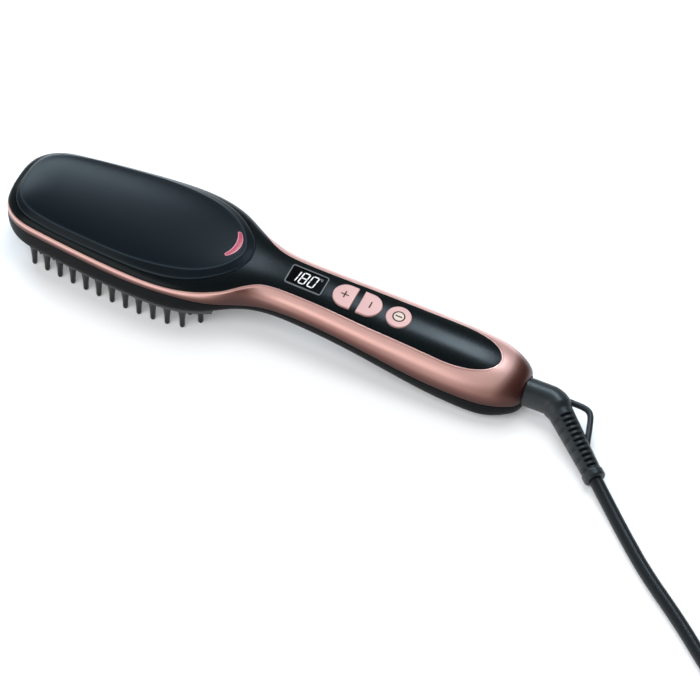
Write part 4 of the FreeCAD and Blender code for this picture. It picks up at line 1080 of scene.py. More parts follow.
# %% Outline of the panel and of its plateau
# distance from the head end, half width
PANEL = [(3.9, 0.0), (5.6, 12.6), (10.0, 19.6), (25.2, 25.8), (52.0, 29.2), (76.0, 31.0),
         (97.0, 30.2), (112.0, 25.6), (123.5, 17.6), (131.0, 8.6), (133.3, 0.0)]
PLATEAU = [(6.2, 0.0), (8.0, 12.0), (12.8, 17.8), (24.0, 22.2), (52.0, 25.9), (76.0, 27.3),
           (95.0, 25.8), (110.5, 21.4), (121.5, 13.8), (127.0, 6.0), (128.6, 0.0)]
PANEL_RISE = 1.4
PANEL_LIP = 0.25
PANEL_GAP = 0.35
PANEL_SEAT = 1.2
LINE_STRIDE = 3
PANEL_LINE = half_outline(PANEL)
PLATEAU_LINE = half_outline(PLATEAU)


def even_outline(line, count):
    """Points at even distances along one side of an outline, then back along the other."""
    lengths = np.concatenate([[0], np.cumsum(np.linalg.norm(np.diff(line[:, :2], axis=0), axis=1))])
    wanted = np.linspace(0, lengths[-1], count)
    near = np.stack([np.interp(wanted, lengths, line[:, c]) for c in (0, 1)], axis=1)
    far = near[-2:0:-1] * (1, -1)
    return np.concatenate([near, far])


def inset_outline(points, inset):
    """An outline drawn in along its own normal."""
    ahead = np.roll(points, -1, axis=0) - np.roll(points, 1, axis=0)
    ahead /= np.linalg.norm(ahead, axis=1)[:, None]
    return points + np.stack([ahead[:, 1], -ahead[:, 0]], axis=1) * inset


def nearest(points, line):
    """Distance from each point to a dense line, taken on one side of the axis."""
    folded = points * (1, 0) + np.abs(points) * (0, 1)
    gaps = folded[:, None, :] - line[None, ::LINE_STRIDE, :2]
    return np.linalg.norm(gaps, axis=2).min(axis=1)


def panel_rise(points):
    """How far the panel stands above the form."""
    edge, flat = nearest(points, PANEL_LINE), nearest(points, PLATEAU_LINE)
    inside = np.interp(points[:, 0], PLATEAU_LINE[:, 0], PLATEAU_LINE[:, 1], left=0, right=0)
    within = np.abs(points[:, 1]) < inside
    share = np.where(within, 1, edge / np.maximum(edge + flat, 1e-9))
    return PANEL_LIP + (PANEL_RISE - PANEL_LIP) * share


REACHES = [round(float(line[-1][0] - line[0][0]), 1) for line in (PANEL, PLATEAU)]
print("panel and plateau", REACHES, "mm long")

# %% [markdown]
# A filled outline is one big face, which can't follow the crown, and a grid laid
# over it would cross the round edge at odd angles. Rings that shrink from the
# outline to a line along its middle keep every face in step with the edge. The
# panel is made this way, and so is the tool that cuts its bed.

# %% Rings across a plate of any outline
RINGS = [0, 0.3, 0.55, 0.75, 0.88, 0.95, 1.0]
RING_MARGIN = 19
RIM_STEPS = 3


def plate_rings(outline):
    """Rings of plan points from a line along the middle out to the outline."""
    start, stop = outline[:, 0].min() + RING_MARGIN, outline[:, 0].max() - RING_MARGIN
    spine = np.stack([np.clip(outline[:, 0], start, stop), np.zeros(len(outline))], axis=1)
    return [spine + (outline - spine) * share for share in RINGS]


def level_ring(plan, heights):
    """Plan points about the head's end as points of the brush."""
    return np.column_stack([HEAD_END + plan[:, 0], plan[:, 1], heights])


def cover_mesh(outline, top_of, wall, roll, ledges=()):
    """A closed cover: rings over the top, a rolled rim and a flat wall, closed below.
    Ledges are (outline, lift) pairs between the middle and the rim."""
    steps = list(ledges) + [(inset_outline(outline, roll), 0.0)]
    rings = [level_ring(ring, top_of(ring)) for ring in plate_rings(steps[0][0])]
    rings += [level_ring(ring, top_of(ring) + lift) for ring, lift in steps[1:]]
    rim = top_of(outline)
    for step in range(1, RIM_STEPS + 1):
        angle = math.pi / 2 * step / RIM_STEPS
        ring = inset_outline(outline, roll * (1 - math.sin(angle)))
        rings.append(level_ring(ring, rim - roll * (1 - math.cos(angle))))
    rings.append(level_ring(outline, rim - wall))
    rings += [level_ring(ring, top_of(ring) - wall) for ring in reversed(plate_rings(outline)[:-1])]
    return np.concatenate(rings), grid_faces(len(rings), len(outline), around=True)


print("plates have", len(RINGS), "rings across and", RIM_STEPS, "round the rim")

# %% [markdown]
# The bead could be a bevelled curve laid on top, but on the real panel it is
# moulded in one with the cover. So it is six more rings along the plateau's
# outline, each a little higher or lower. The rings on the bead and the rim also
# carry the number that paints a highlight on them, so they look paler.

# %% Head panel
PANEL_WALL = 1.8
PANEL_SIDES = 190
PANEL_ROLL = 0.3
# how far inside the plateau's outline, how high above the panel, how strong its painted highlight
BEAD = [(0.7, 0.0, 0.0), (0.4, 0.07, 0.35), (0.12, 0.13, 1.0),
        (-0.12, 0.13, 1.0), (-0.4, 0.04, 0.3), (-0.7, 0.0, 0.0)]
SLOPE = [0.3, 0.5, 0.7, 0.85]
RIM_HIGHLIGHT = [0.7, 1.0, 1.0, 0.6]


def panel_top(points):
    """Height of the panel's upper face over places in plan."""
    return crown_height(points[:, 0], points[:, 1]) + panel_rise(points)


panel_edge = inset_outline(even_outline(PANEL_LINE, PANEL_SIDES), PANEL_GAP)
plateau_edge = even_outline(PLATEAU_LINE, PANEL_SIDES)
inner_edge = inset_outline(panel_edge, PANEL_ROLL)
bead = [(inset_outline(plateau_edge, inset), lift) for inset, lift, pale in BEAD]
slope = [(bead[-1][0] + (inner_edge - bead[-1][0]) * share, 0.0) for share in SLOPE]
panel_points, panel_faces = cover_mesh(panel_edge, panel_top, PANEL_WALL, PANEL_ROLL, bead + slope)
bead_highlight = [pale for inset, lift, pale in BEAD]
# The bead and the rim get painted highlights, the rest of the panel none
ring_highlight = [0.0] * (len(RINGS) - 1) + bead_highlight + [0.0] * len(SLOPE) + RIM_HIGHLIGHT
ring_highlight += [0.0] * (len(panel_points) // len(panel_edge) - len(ring_highlight))
panel = piece("panel_cover", panel_points, panel_faces, PANEL_BLACK,
              across=np.repeat(ring_highlight, len(panel_edge)))
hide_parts("head_panel")
print("panel", len(panel.data.polygons), "faces")

# %% [markdown]
# On the real brush the panel lies in a shallow bed, so its edge shows a groove and
# not a gap. The bed is cut into the upper shell with a tool of the panel's own
# outline that reaches a little below the form. A Boolean is right here, because the
# cut crosses the strip's faces wherever it likes.

# %% Cut a piece with a tool
SEAT_SIDES, SEAT_TOOL_TALL, SEAT_TOOL_ROLL = 150, 6, 0.1


def cut(target, tool):
    """Take the tool's shape out of a piece, and throw the tool away."""
    modifier = target.modifiers.new("cut", "BOOLEAN")
    modifier.operation = "DIFFERENCE"
    modifier.solver = "EXACT"
    modifier.object = tool
    graph = bpy.context.evaluated_depsgraph_get()
    made = bpy.data.meshes.new_from_object(target.evaluated_get(graph))
    target.modifiers.clear()
    target.data = made
    shade(made)
    bpy.data.objects.remove(tool)


def seat_top(points):
    """Height of the seat tool's upper face, clear of the form."""
    return crown_height(points[:, 0], points[:, 1]) + SEAT_TOOL_TALL


seat_points, seat_faces = cover_mesh(even_outline(PANEL_LINE, SEAT_SIDES), seat_top,
                                     SEAT_TOOL_TALL + PANEL_SEAT, SEAT_TOOL_ROLL)
cut(top, piece("seat_tool", seat_points, seat_faces, SHELL_BLACK, body=None))
print("upper shell with its seat", len(top.data.polygons), "faces")

# %% [markdown]
# ## The control deck
# The display and the keys stand on a line that falls with the handle's crown, so
# they share one tilted frame. Each could be turned and moved by hand, but then a
# change of the handle would miss some. A piece is drawn flat in that frame, with
# its height above the deck, and the frame puts it in place.

# %% The deck's frame
NECK_AT, NECK_CROWN = 142.0, 38.6
PALM_AT, PALM_CROWN = 238.8, 33.0
DECK_TILT = math.atan2(NECK_CROWN - PALM_CROWN, PALM_AT - NECK_AT)
DECK = Matrix.Translation((HEAD_END + NECK_AT, 0, NECK_CROWN)) @ Matrix.Rotation(DECK_TILT, 4, "Y")
print("deck falls by", round(math.degrees(DECK_TILT), 2), "degrees")


def on_deck(points, at, turned=False):
    """Points drawn about a place on the deck, in the brush's own frame."""
    place = DECK @ Matrix.Translation((at, 0, 0))
    if turned:
        place = place @ Matrix.Rotation(math.pi, 4, "Z")
    return [place @ Vector(point) for point in points]

# %% [markdown]
# Key, hole and inlay of one control have the same outline at different widths. So
# an outline is kept as a function that draws itself grown or shrunk by any amount,
# and a solid is that outline stacked at several heights.

# %% Outlines of the pieces on the deck
def round_outline(radius, sides=64):
    """A circle."""
    def outline(grow=0.0):
        """The outline's points, grown outward all round."""
        angles = [2 * math.pi * step / sides for step in range(sides)]
        return [((radius + grow) * math.cos(a), (radius + grow) * math.sin(a)) for a in angles]
    return outline


def d_outline(radius, straight, sides=40, run_steps=8, end_steps=12):
    """A half circle towards -X, closed by a square end."""
    def outline(grow=0.0):
        """The outline's points, grown outward all round."""
        wide, long = radius + grow, straight + grow
        angles = [math.pi / 2 + math.pi * step / sides for step in range(sides + 1)]
        arc = [(wide * math.cos(a), wide * math.sin(a)) for a in angles]
        run = [long * step / run_steps for step in range(1, run_steps + 1)]
        lower = [(x, -wide) for x in run]
        end = [(long, wide * (2 * step / end_steps - 1)) for step in range(1, end_steps)]
        upper = [(x, wide) for x in reversed(run)]
        return arc + lower + end + upper
    return outline


def box_outline(length, width, corner, steps=5):
    """A rectangle with rounded corners."""
    def outline(grow=0.0):
        """The outline's points, grown outward all round."""
        x, y, r = length / 2 + grow, width / 2 + grow, max(corner + grow, 0.05)
        points = []
        centres = [(x - r, y - r), (r - x, y - r), (r - x, r - y), (x - r, r - y)]
        for quarter_turn, (cx, cy) in enumerate(centres):
            for step in range(steps + 1):
                angle = math.pi / 2 * (quarter_turn + step / steps)
                points.append((cx + r * math.cos(angle), cy + r * math.sin(angle)))
        return points
    return outline


def stack(outline, levels):
    """A closed solid through one outline at several heights: (grow, scale, height)."""
    points = []
    for grow, scale, height in levels:
        points += [(x * scale, y * scale, height) for x, y in outline(grow)]
    return points, grid_faces(len(levels), len(outline(0)), around=True)


print("a round outline has", len(round_outline(1.0)()), "points")

# %% [markdown]
# ## Keys
# The plus and minus keys are two halves of a long oval, and the power key is
# round. They are lacquered rose with a softly rounded rim, which shows as a thin
# bright line. Each has a flange under the shell, so that it can't fall out. A
# bevelled cylinder would do for the round one only, so all three are stacks.

# %% Key bodies
DECK_THICK, KEY_PROUD, KEY_PLAY = 3.3, 0.5, 0.2
KEY_FLANGE, FLANGE_THICK = 0.9, 1.0
KEY_RIM, RIM_TURNS, KEY_CROWN = 0.4, 4, 0.12
KEY_LOW = -DECK_THICK - KEY_PLAY - FLANGE_THICK
PLUS_AT, MINUS_AT, POWER_AT, DISPLAY_AT = 43.6, 55.8, 72.4, 21.6
D_KEY = d_outline(radius=7.1, straight=4.4)
ROUND_KEY = round_outline(radius=6.6)


def key_levels():
    """Flange, stem, rounded rim and a slightly crowned face."""
    flange_top = KEY_LOW + FLANGE_THICK
    flange = [(KEY_FLANGE, 0, KEY_LOW), (KEY_FLANGE, 1, KEY_LOW), (KEY_FLANGE, 1, flange_top)]
    angles = [math.pi / 2 * step / RIM_TURNS for step in range(RIM_TURNS + 1)]
    rim = [(KEY_RIM * (math.cos(a) - 1), 1, KEY_PROUD + KEY_RIM * (math.sin(a) - 1)) for a in angles]
    face = [(-KEY_RIM, scale, KEY_PROUD + KEY_CROWN * (1 - scale * scale))
            for scale in (0.9, 0.7, 0.45, 0.2, 0)]
    return flange + [(0, 1, flange_top)] + rim + face


def key(name, outline, at, body, turned=False):
    """A lacquered key that presses into the deck."""
    points, faces = stack(outline, key_levels())
    made = piece(name, on_deck(points, at, turned), faces, KEY_ROSE, body)
    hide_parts(body.replace("_key", "_button"))
    return made


plus = key("plus_cap", D_KEY, PLUS_AT, "plus_key")
minus = key("minus_cap", D_KEY, MINUS_AT, "minus_key", turned=True)
power = key("power_cap", ROUND_KEY, POWER_AT, "power_key")
print("key faces", [len(k.data.polygons) for k in (plus, minus, power)])

# %% [markdown]
# The signs on the keys are printed or inlaid. A texture could carry them, but its
# edges blur close up. Here they are thin inlays that stand a hair above the
# lacquer: two bars for plus, one for minus, and for the power key a ring, a pale
# disc in it and a bar, each a hair higher than the one below.

# %% Inlays
INLAY_TOP = KEY_PROUD + 0.17
INLAY_LOW = KEY_PROUD - 0.3
INLAY_EDGE = 0.03
SMALL_STEP, STEP = 0.005, 0.05


def inlay(name, outline, centre, at, body, material, lift=0.0):
    """A flat sign let into a key's face."""
    top_level = INLAY_TOP + lift
    levels = [(0, 0, INLAY_LOW), (0, 1, INLAY_LOW), (0, 1, top_level - INLAY_EDGE),
              (-INLAY_EDGE, 1, top_level), (-INLAY_EDGE, 0, top_level)]
    points, faces = stack(outline, levels)
    moved = [(x + centre[0], y + centre[1], z) for x, y, z in points]
    return piece(name, on_deck(moved, at), faces, material, body)


BAR, LINE, BAR_CORNER = 4.3, 0.75, 0.1
PLUS_MIDDLE, MINUS_MIDDLE, POWER_MIDDLE = (-1.0, 0.2), (1.0, 0.0), (0, 0)
along_bar, across_bar = box_outline(BAR, LINE, BAR_CORNER), box_outline(LINE, BAR, BAR_CORNER)
power_ring, power_disc = round_outline(radius=3.4), round_outline(radius=2.6)
power_bar = box_outline(length=3.5, width=0.85, corner=0.15)
signs = [
    inlay("plus_bar_along", along_bar, PLUS_MIDDLE, PLUS_AT, "plus_key", MARK_BROWN),
    inlay("plus_bar_across", across_bar, PLUS_MIDDLE, PLUS_AT, "plus_key", MARK_BROWN, SMALL_STEP),
    inlay("minus_bar", across_bar, MINUS_MIDDLE, MINUS_AT, "minus_key", MARK_BROWN),
    inlay("power_ring", power_ring, POWER_MIDDLE, POWER_AT, "power_key", MARK_BROWN, -STEP),
    inlay("power_disc", power_disc, POWER_MIDDLE, POWER_AT, "power_key", MARK_IVORY),
    inlay("power_bar", power_bar, POWER_MIDDLE, POWER_AT, "power_key", MARK_BROWN, STEP),
]
print("inlays", len(signs))

# %% [markdown]
# ## Display
# The display is a black window in a thin grey frame. The frame is drawn as one
# ring: up its outside, over its rounded top and down its inside. Its edges stay
# free of the deck by a hair, and the window lies just below its rim.

# %% Frame and window
DISPLAY_LENGTH, DISPLAY_WIDTH, BEZEL_RIM = 20.3, 12.6, 0.6
BEZEL_CORNER, WINDOW_CORNER = 1.3, 0.6
PANE_LOW, PANE_EDGE, PANE_TOP = -1.4, -0.1, -0.08


def ring_between(outer, inner, levels_out, levels_in):
    """A frame: up the outside, over the top and down the inside."""
    points = []
    for grow, height in levels_out:
        points += [(x, y, height) for x, y in outer(grow)]
    for grow, height in levels_in:
        points += [(x, y, height) for x, y in inner(grow)]
    return points, ring_faces(len(levels_out) + len(levels_in), len(outer(0)))


bezel_outer = box_outline(DISPLAY_LENGTH, DISPLAY_WIDTH, BEZEL_CORNER)
bezel_inner = box_outline(DISPLAY_LENGTH - 2 * BEZEL_RIM, DISPLAY_WIDTH - 2 * BEZEL_RIM, WINDOW_CORNER)
# how far grown and at what height: a wall with a rounded upper edge
outside = [(0, -DECK_THICK), (0, 0.05), (-0.05, 0.17), (-0.17, 0.22)]
inside = [(-grow, height) for grow, height in reversed(outside)]
bezel_points, bezel_faces = ring_between(bezel_outer, bezel_inner, outside, inside)
bezel = piece("display_frame", on_deck(bezel_points, DISPLAY_AT), bezel_faces, BEZEL_GREY)
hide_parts("display_bezel")
pane_levels = [(0, 0, PANE_LOW), (0, 1, PANE_LOW), (0, 1, PANE_EDGE),
               (0, 0.5, PANE_TOP), (0, 0, PANE_TOP)]
pane_points, pane_faces = stack(bezel_inner, pane_levels)
pane = piece("display_pane", on_deck(pane_points, DISPLAY_AT), pane_faces, GLASS_BLACK)
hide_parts("display_window")
print("display frame", len(bezel.data.polygons), "faces")

# %% [markdown]
# The figures are those of a seven-segment module. A font would give the wrong
# shapes, because a real segment is a six-cornered bar with a gap to the next one.
# So each segment is a small plate, named a to g as makers name them, and the whole
# figure leans a little.

# %% Digits
DIGIT_TALL, DIGIT_WIDE, STROKE, SEGMENT_GAP = 7.8, 3.8, 0.62, 0.14
DIGIT_PITCH, DIGITS_SHIFT = 4.9, -1.5
LEAN = math.tan(math.radians(8))
DIGIT_TOP, DIGIT_THICK = -0.03, 0.1
SEGMENTS = {"1": "bc", "8": "abcdefg", "0": "abcdef"}


def segment(name):
    """Corners of one segment, about the digit's middle."""
    x, y, s = (DIGIT_WIDE - STROKE) / 2, (DIGIT_TALL - STROKE) / 2, STROKE / 2
    ends = {
        "a": ((-x, y), (x, y)), "g": ((-x, 0), (x, 0)), "d": ((-x, -y), (x, -y)),
        "f": ((-x, 0), (-x, y)), "b": ((x, 0), (x, y)),
        "e": ((-x, -y), (-x, 0)), "c": ((x, -y), (x, 0)),
    }
    (x0, y0), (x1, y1) = ends[name]
    if y0 == y1:
        x0, x1 = x0 + SEGMENT_GAP, x1 - SEGMENT_GAP
        return [(x0, y0), (x0 + s, y0 - s), (x1 - s, y0 - s),
                (x1, y0), (x1 - s, y0 + s), (x0 + s, y0 + s)]
    y0, y1 = y0 + SEGMENT_GAP, y1 - SEGMENT_GAP
    return [(x0, y0), (x0 + s, y0 + s), (x0 + s, y1 - s), (x0, y1), (x0 - s, y1 - s), (x0 - s, y0 + s)]


def thin_plates(outlines, low, high):
    """Flat plates with the same thickness, as one list of points and faces."""
    points, faces = [], []
    for outline in outlines:
        start, sides = len(points), len(outline)
        points += [(x, y, low) for x, y in outline] + [(x, y, high) for x, y in outline]
        faces.append(tuple(start + step for step in reversed(range(sides))))
        faces.append(tuple(start + sides + step for step in range(sides)))
        for step in range(sides):
            right = (step + 1) % sides
            faces.append((start + step, start + right, start + sides + right, start + sides + step))
    return points, faces


def leaning(outline, shift):
    """An outline slanted like the figures and moved along the window."""
    return [(x + y * LEAN + shift, y) for x, y in outline]


digit_outlines = []
for number, figure in enumerate("180"):
    shift = DIGITS_SHIFT + DIGIT_PITCH * (number - 1)
    digit_outlines += [leaning(segment(letter), shift) for letter in SEGMENTS[figure]]
digit_points, digit_faces = thin_plates(digit_outlines, DIGIT_TOP - DIGIT_THICK, DIGIT_TOP)
piece("display_digits", on_deck(digit_points, DISPLAY_AT), digit_faces, DIGIT_WHITE)
print("segments", len(digit_outlines))

# %% [markdown]
# A small degree sign and a C stand behind the figures. They are printed on the
# module and barely lit, so they get a grey of their own. Both are arcs, and one
# helper bends a thin strip of plates round each.

# %% Degree sign
DEGREE_GREY = glowing("degree_grey", (0.2, 0.19, 0.2), 0.05)


def arc_band(centre, radius, stroke, start, stop, steps=14):
    """A bent strip between two angles, as small four-cornered outlines."""
    outlines = []
    for step in range(steps):
        a, b = [math.radians(start + (stop - start) * (step + k) / steps) for k in (0, 1)]
        inner, outer = radius - stroke / 2, radius + stroke / 2
        outlines.append([(centre[0] + r * math.cos(t), centre[1] + r * math.sin(t))
                         for r, t in ((inner, a), (outer, a), (outer, b), (inner, b))])
    return outlines


small_ring = arc_band(centre=(6.15, 3.6), radius=0.3, stroke=0.14, start=0, stop=360)
letter_c = arc_band(centre=(7.3, 3.1), radius=0.62, stroke=0.2, start=50, stop=310)
degree_points, degree_faces = thin_plates(small_ring + letter_c, DIGIT_TOP - DIGIT_THICK, DIGIT_TOP)
piece("display_degree", on_deck(degree_points, DISPLAY_AT), degree_faces, DEGREE_GREY)
print("plates of the degree sign", len(small_ring) + len(letter_c))

# %% [markdown]
# Now the holes. The same outlines, grown by the play of the keys, are cut straight
# through the deck. So the gap round a key is even, and a pressed key sinks into a
# real hole and not into a dark ring.

# %% Holes in the deck
HOLE_LOW, HOLE_HIGH = -9, 6
BEZEL_PLAY = 0.05


def hole(outline, grow, at, turned=False):
    """Cut an outline, grown by its play, straight through the deck."""
    points, faces = stack(outline, [(grow, 0, HOLE_LOW), (grow, 1, HOLE_LOW),
                                    (grow, 1, HOLE_HIGH), (grow, 0, HOLE_HIGH)])
    tool = piece("hole_tool", on_deck(points, at, turned), faces, SHELL_BLACK, body=None)
    cut(top, tool)


hole(bezel_outer, BEZEL_PLAY, DISPLAY_AT)
hole(D_KEY, KEY_PLAY, PLUS_AT)
hole(D_KEY, KEY_PLAY, MINUS_AT, turned=True)
hole(ROUND_KEY, KEY_PLAY, POWER_AT)
print("upper shell with its holes", len(top.data.polygons), "faces")

# %% [markdown]
# ## Crescent light
# A translucent red crescent near the back of the panel shows that the brush is
# hot. It follows an arc and has round ends. It could be painted on the panel by a
# mask, but then its edge would be soft. A pale rim surrounds the red, so the
# crescent is made twice: a slightly larger pale one, and the red one a hair above.

# %% Outline of the crescent
LIGHT_AT, LIGHT_ACROSS = 111.6, 2.0
LIGHT_RADIUS, LIGHT_SWEEP = 12.65, math.radians(39)
LIGHT_END, LIGHT_BELLY = 0.9, 0.7


def crescent_outline(inset, steps=28, cap=6):
    """A bent drop along an arc, thicker in its middle, with round ends, drawn in by an inset."""
    points = []

    def spot(angle, radius):
        """Add a point about the arc's centre."""
        points.append((LIGHT_AT + radius * math.cos(angle), LIGHT_ACROSS + radius * math.sin(angle)))

    for step in range(steps + 1):
        way = 1 - 2 * step / steps
        spot(LIGHT_SWEEP * way, LIGHT_RADIUS + LIGHT_END + LIGHT_BELLY * (1 - way * way) - inset)
    for end in (-1, 1):
        middle = (LIGHT_AT + LIGHT_RADIUS * math.cos(LIGHT_SWEEP),
                  LIGHT_ACROSS + end * LIGHT_RADIUS * math.sin(LIGHT_SWEEP))
        start = end * LIGHT_SWEEP + (0 if end < 0 else math.pi)
        for step in range(1, cap):
            angle = start - math.pi * step / cap
            points.append((middle[0] + (LIGHT_END - inset) * math.cos(angle),
                           middle[1] + (LIGHT_END - inset) * math.sin(angle)))
        if end < 0:
            for back in range(steps + 1):
                way = 2 * back / steps - 1
                spot(LIGHT_SWEEP * way, LIGHT_RADIUS - LIGHT_END - LIGHT_BELLY * (1 - way * way) + inset)
    return np.roll(np.array(points), cap // 2, axis=0)


print("crescent outline", len(crescent_outline(0.0)), "points")

# %% [markdown]
# A shrinkwrap modifier could lay a flat crescent on the panel. But the panel's
# height is known at every place, so each point takes it at once and adds a small
# lift. A narrow last ring bevels the edge.

# %% The two crescents
BEVEL_WIDE, BEVEL_TALL = 0.25, 0.08
LIGHT_DEPTH = 1.5


def crescent(name, inset, lift, material):
    """A thin crescent on the panel, its upper face following the panel."""
    plan = crescent_outline(inset)
    middle = crescent_outline(inset + BEVEL_WIDE)
    rings = [level_ring(plan, panel_top(plan) - LIGHT_DEPTH),
             level_ring(plan, panel_top(plan) + lift - BEVEL_TALL),
             level_ring(middle, panel_top(middle) + lift)]
    count = len(plan)
    faces = grid_faces(len(rings), count, around=True)
    faces.append(tuple(reversed(range(count))))
    for step in range(count // 2):
        corners = [step, step + 1, (count - step - 1) % count, (count - step) % count]
        faces.append(tuple(2 * count + corner for corner in dict.fromkeys(corners)))
    return piece(name, np.concatenate(rings), faces, material)


crescent("light_rim", 0.0, 0.1, LIGHT_RIM)
red_light = crescent("light_crescent", 0.33, 0.16, LIGHT_RED)
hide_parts("light_lens")
print("crescent", [round(side * 1000, 1) for side in red_light.dimensions], "mm")

# %% [markdown]
# ## Bristles
# Each bristle is a turned shape: a flared root, a slim taper and a round tip, so
# that it glides over the scalp. A cone with a ball on it would show a seam, so one
# profile is turned instead.

# %% One bristle
PLATE_LEVEL = 14.9
# radius, depth below the plate
BRISTLE_PROFILE = [
    (2.75, -0.1), (2.45, 0.4), (2.25, 1.2), (2.1, 2.4), (1.85, 4.6), (1.6, 7.2), (1.46, 9.6),
    (1.4, 12.0), (1.38, 13.3), (1.28, 13.95), (1.08, 14.4), (0.78, 14.72), (0.4, 14.87), (0.0, 14.9),
]
BRISTLE_SIDES = 20


def bristle(x, y, points, faces):
    """Add one bristle, hanging from the plate, to a list of points and faces."""
    start = len(points)
    for radius, depth in BRISTLE_PROFILE:
        for step in range(BRISTLE_SIDES):
            angle = 2 * math.pi * step / BRISTLE_SIDES
            along, across = radius * math.cos(angle), radius * math.sin(angle)
            points.append((x + along, y + across, PLATE_LEVEL - depth))
    faces.append(tuple(start + step for step in range(BRISTLE_SIDES)))
    for face in grid_faces(len(BRISTLE_PROFILE), BRISTLE_SIDES, around=True):
        faces.append(tuple(start + corner for corner in face))


print("bristle", PLATE_LEVEL, "mm long,", len(BRISTLE_PROFILE), "rings")

# %% [markdown]
# The bristles stand in twelve columns whose width follows the oval of the head. The
# outer bristle on each side stays cool and keeps the hot plate off the skin, and so
# do a short row in front and one behind. An array modifier would make a rectangle,
# so each column is spread over the width that the head has there.

# %% Places of the bristles
FIRST_COLUMN, COLUMN_PITCH, COLUMNS = 20.1, 7.9, 12
GUARD_INSET, ROWS_A_SIDE = 5.5, 3
FRONT_AT, FRONT_SPREAD = FIRST_COLUMN - COLUMN_PITCH, 9.0
BACK_AT, BACK_SPREAD = 114.2, 20.5


def plan_half(at):
    """Half width of the form at a distance from the head end."""
    return float(np.interp(at, DENSE_FORM[:, AT], DENSE_FORM[:, HALF]))


def bristle_places():
    """Plan places of the hot bristles and of the cool ones round them."""
    hot, cool = [], []
    for column in range(COLUMNS):
        at = FIRST_COLUMN + COLUMN_PITCH * column
        outer = plan_half(at) - GUARD_INSET
        for row in range(-ROWS_A_SIDE, ROWS_A_SIDE + 1):
            group = cool if abs(row) == ROWS_A_SIDE else hot
            group.append((HEAD_END + at, outer * row / ROWS_A_SIDE))
    for at, spread, steps in ((FRONT_AT, FRONT_SPREAD, 1), (BACK_AT, BACK_SPREAD, 2)):
        cool += [(HEAD_END + at, spread * row / steps) for row in range(-steps, steps + 1)]
    return hot, cool


def bristle_group(name, places, material, node):
    """All the bristles of one kind as one piece."""
    points, faces = [], []
    for x, y in places:
        bristle(x, y, points, faces)
    made = piece(name, points, faces, material)
    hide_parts(node)
    return made


hot_places, cool_places = bristle_places()
bristle_group("hot_bristles", hot_places, BRISTLE_BLACK, "heated_pins")
bristle_group("cool_bristles", cool_places, BRISTLE_BLACK, "guard_bristles")
print("bristles", len(hot_places), "hot,", len(cool_places), "cool")

# %% [markdown]
# ## Elbow and sleeve
# The elbow is moulded over the lead in one soft black piece: a round stub that
# turns in the handle, a bend, and a tapering sleeve with cuts on its upper far
# side that let it flex, fine grooves on its near side, and a rounded collar at its
# end. It could be a bent cylinder with Boolean cuts, but thirty cuts are slow and
# leave bad shading. It is drawn as rings along the bent axis, and the radius of
# each point says where a cut or a groove runs.

# %% The elbow's axis
ALONG_X = Vector((1, 0, 0))
IN_THE_HANDLE = 2.0
ELBOW_START, ELBOW_RADIUS, ELBOW_BEND = END_FACE - IN_THE_HANDLE, 7.5, 9.0
COLLAR_LENGTH = 5.0
half_turn = SLEEVE.angle(ALONG_X) / 2
BEND_RUN = ELBOW_BEND * math.tan(half_turn)
BINORMAL = ALONG_X.cross(SLEEVE).normalized()
STUB = BEND.x - BEND_RUN - ELBOW_START
ARC = 2 * half_turn * ELBOW_BEND
SLEEVE_RUN = RELIEF_LENGTH - BEND_RUN


def axis_at(s):
    """Centre and direction at a length along the elbow's axis."""
    if s <= STUB:
        return Vector((ELBOW_START + s, 0, BEND.z)), ALONG_X
    if s <= STUB + ARC:
        angle = (s - STUB) / ELBOW_BEND
        inward = BINORMAL.cross(ALONG_X)
        middle = Vector((BEND.x - BEND_RUN, 0, BEND.z)) + inward * ELBOW_BEND
        ahead = ALONG_X * math.cos(angle) + inward * math.sin(angle)
        outward = -inward * math.cos(angle) + ALONG_X * math.sin(angle)
        return middle + outward * ELBOW_BEND, ahead
    return BEND + SLEEVE * (BEND_RUN + s - STUB - ARC), SLEEVE


print("elbow turns by", round(math.degrees(2 * half_turn), 1), "degrees")

# %% [markdown]
# Without its cuts the sleeve is a stub, a soft shoulder, a slow taper and a collar
# whose two edges are rounded like a ring's.

# %% The plain sleeve
SLEEVE_FIRST, SLEEVE_LAST, SHOULDER_RUN = 6.6, 5.1, 4.0
COLLAR_RADIUS, COLLAR_EDGE = 5.7, 1.2
COLLAR_AT = STUB + ARC + SLEEVE_RUN - COLLAR_LENGTH


def plain_radius(s):
    """Radius without cuts: stub, shoulder, taper, and the collar with round edges."""
    along_sleeve = s - STUB - ARC
    if along_sleeve <= 0:
        return ELBOW_RADIUS
    into = s - COLLAR_AT
    if into >= 0:
        drop = max(0, COLLAR_EDGE - min(into, COLLAR_LENGTH - into))
        return COLLAR_RADIUS - COLLAR_EDGE + math.sqrt(max(COLLAR_EDGE ** 2 - drop ** 2, 0))
    taper = SLEEVE_FIRST + (SLEEVE_LAST - SLEEVE_FIRST) * along_sleeve / (SLEEVE_RUN - COLLAR_LENGTH)
    shoulder = max(0, 1 - along_sleeve / SHOULDER_RUN)
    return taper + (ELBOW_RADIUS - taper) * shoulder * shoulder * (3 - 2 * shoulder)


print("sleeve tapers from", SLEEVE_FIRST, "to", SLEEVE_LAST, "mm, collar", COLLAR_RADIUS, "mm")

# %% [markdown]
# Eleven wide cuts on the upper side leave webs between them, and that is what lets
# a stiff sleeve bend. The rest of the round has pairs of fine grooves. Both fade out
# over a fraction of a millimetre, because moulded edges aren't sharp.

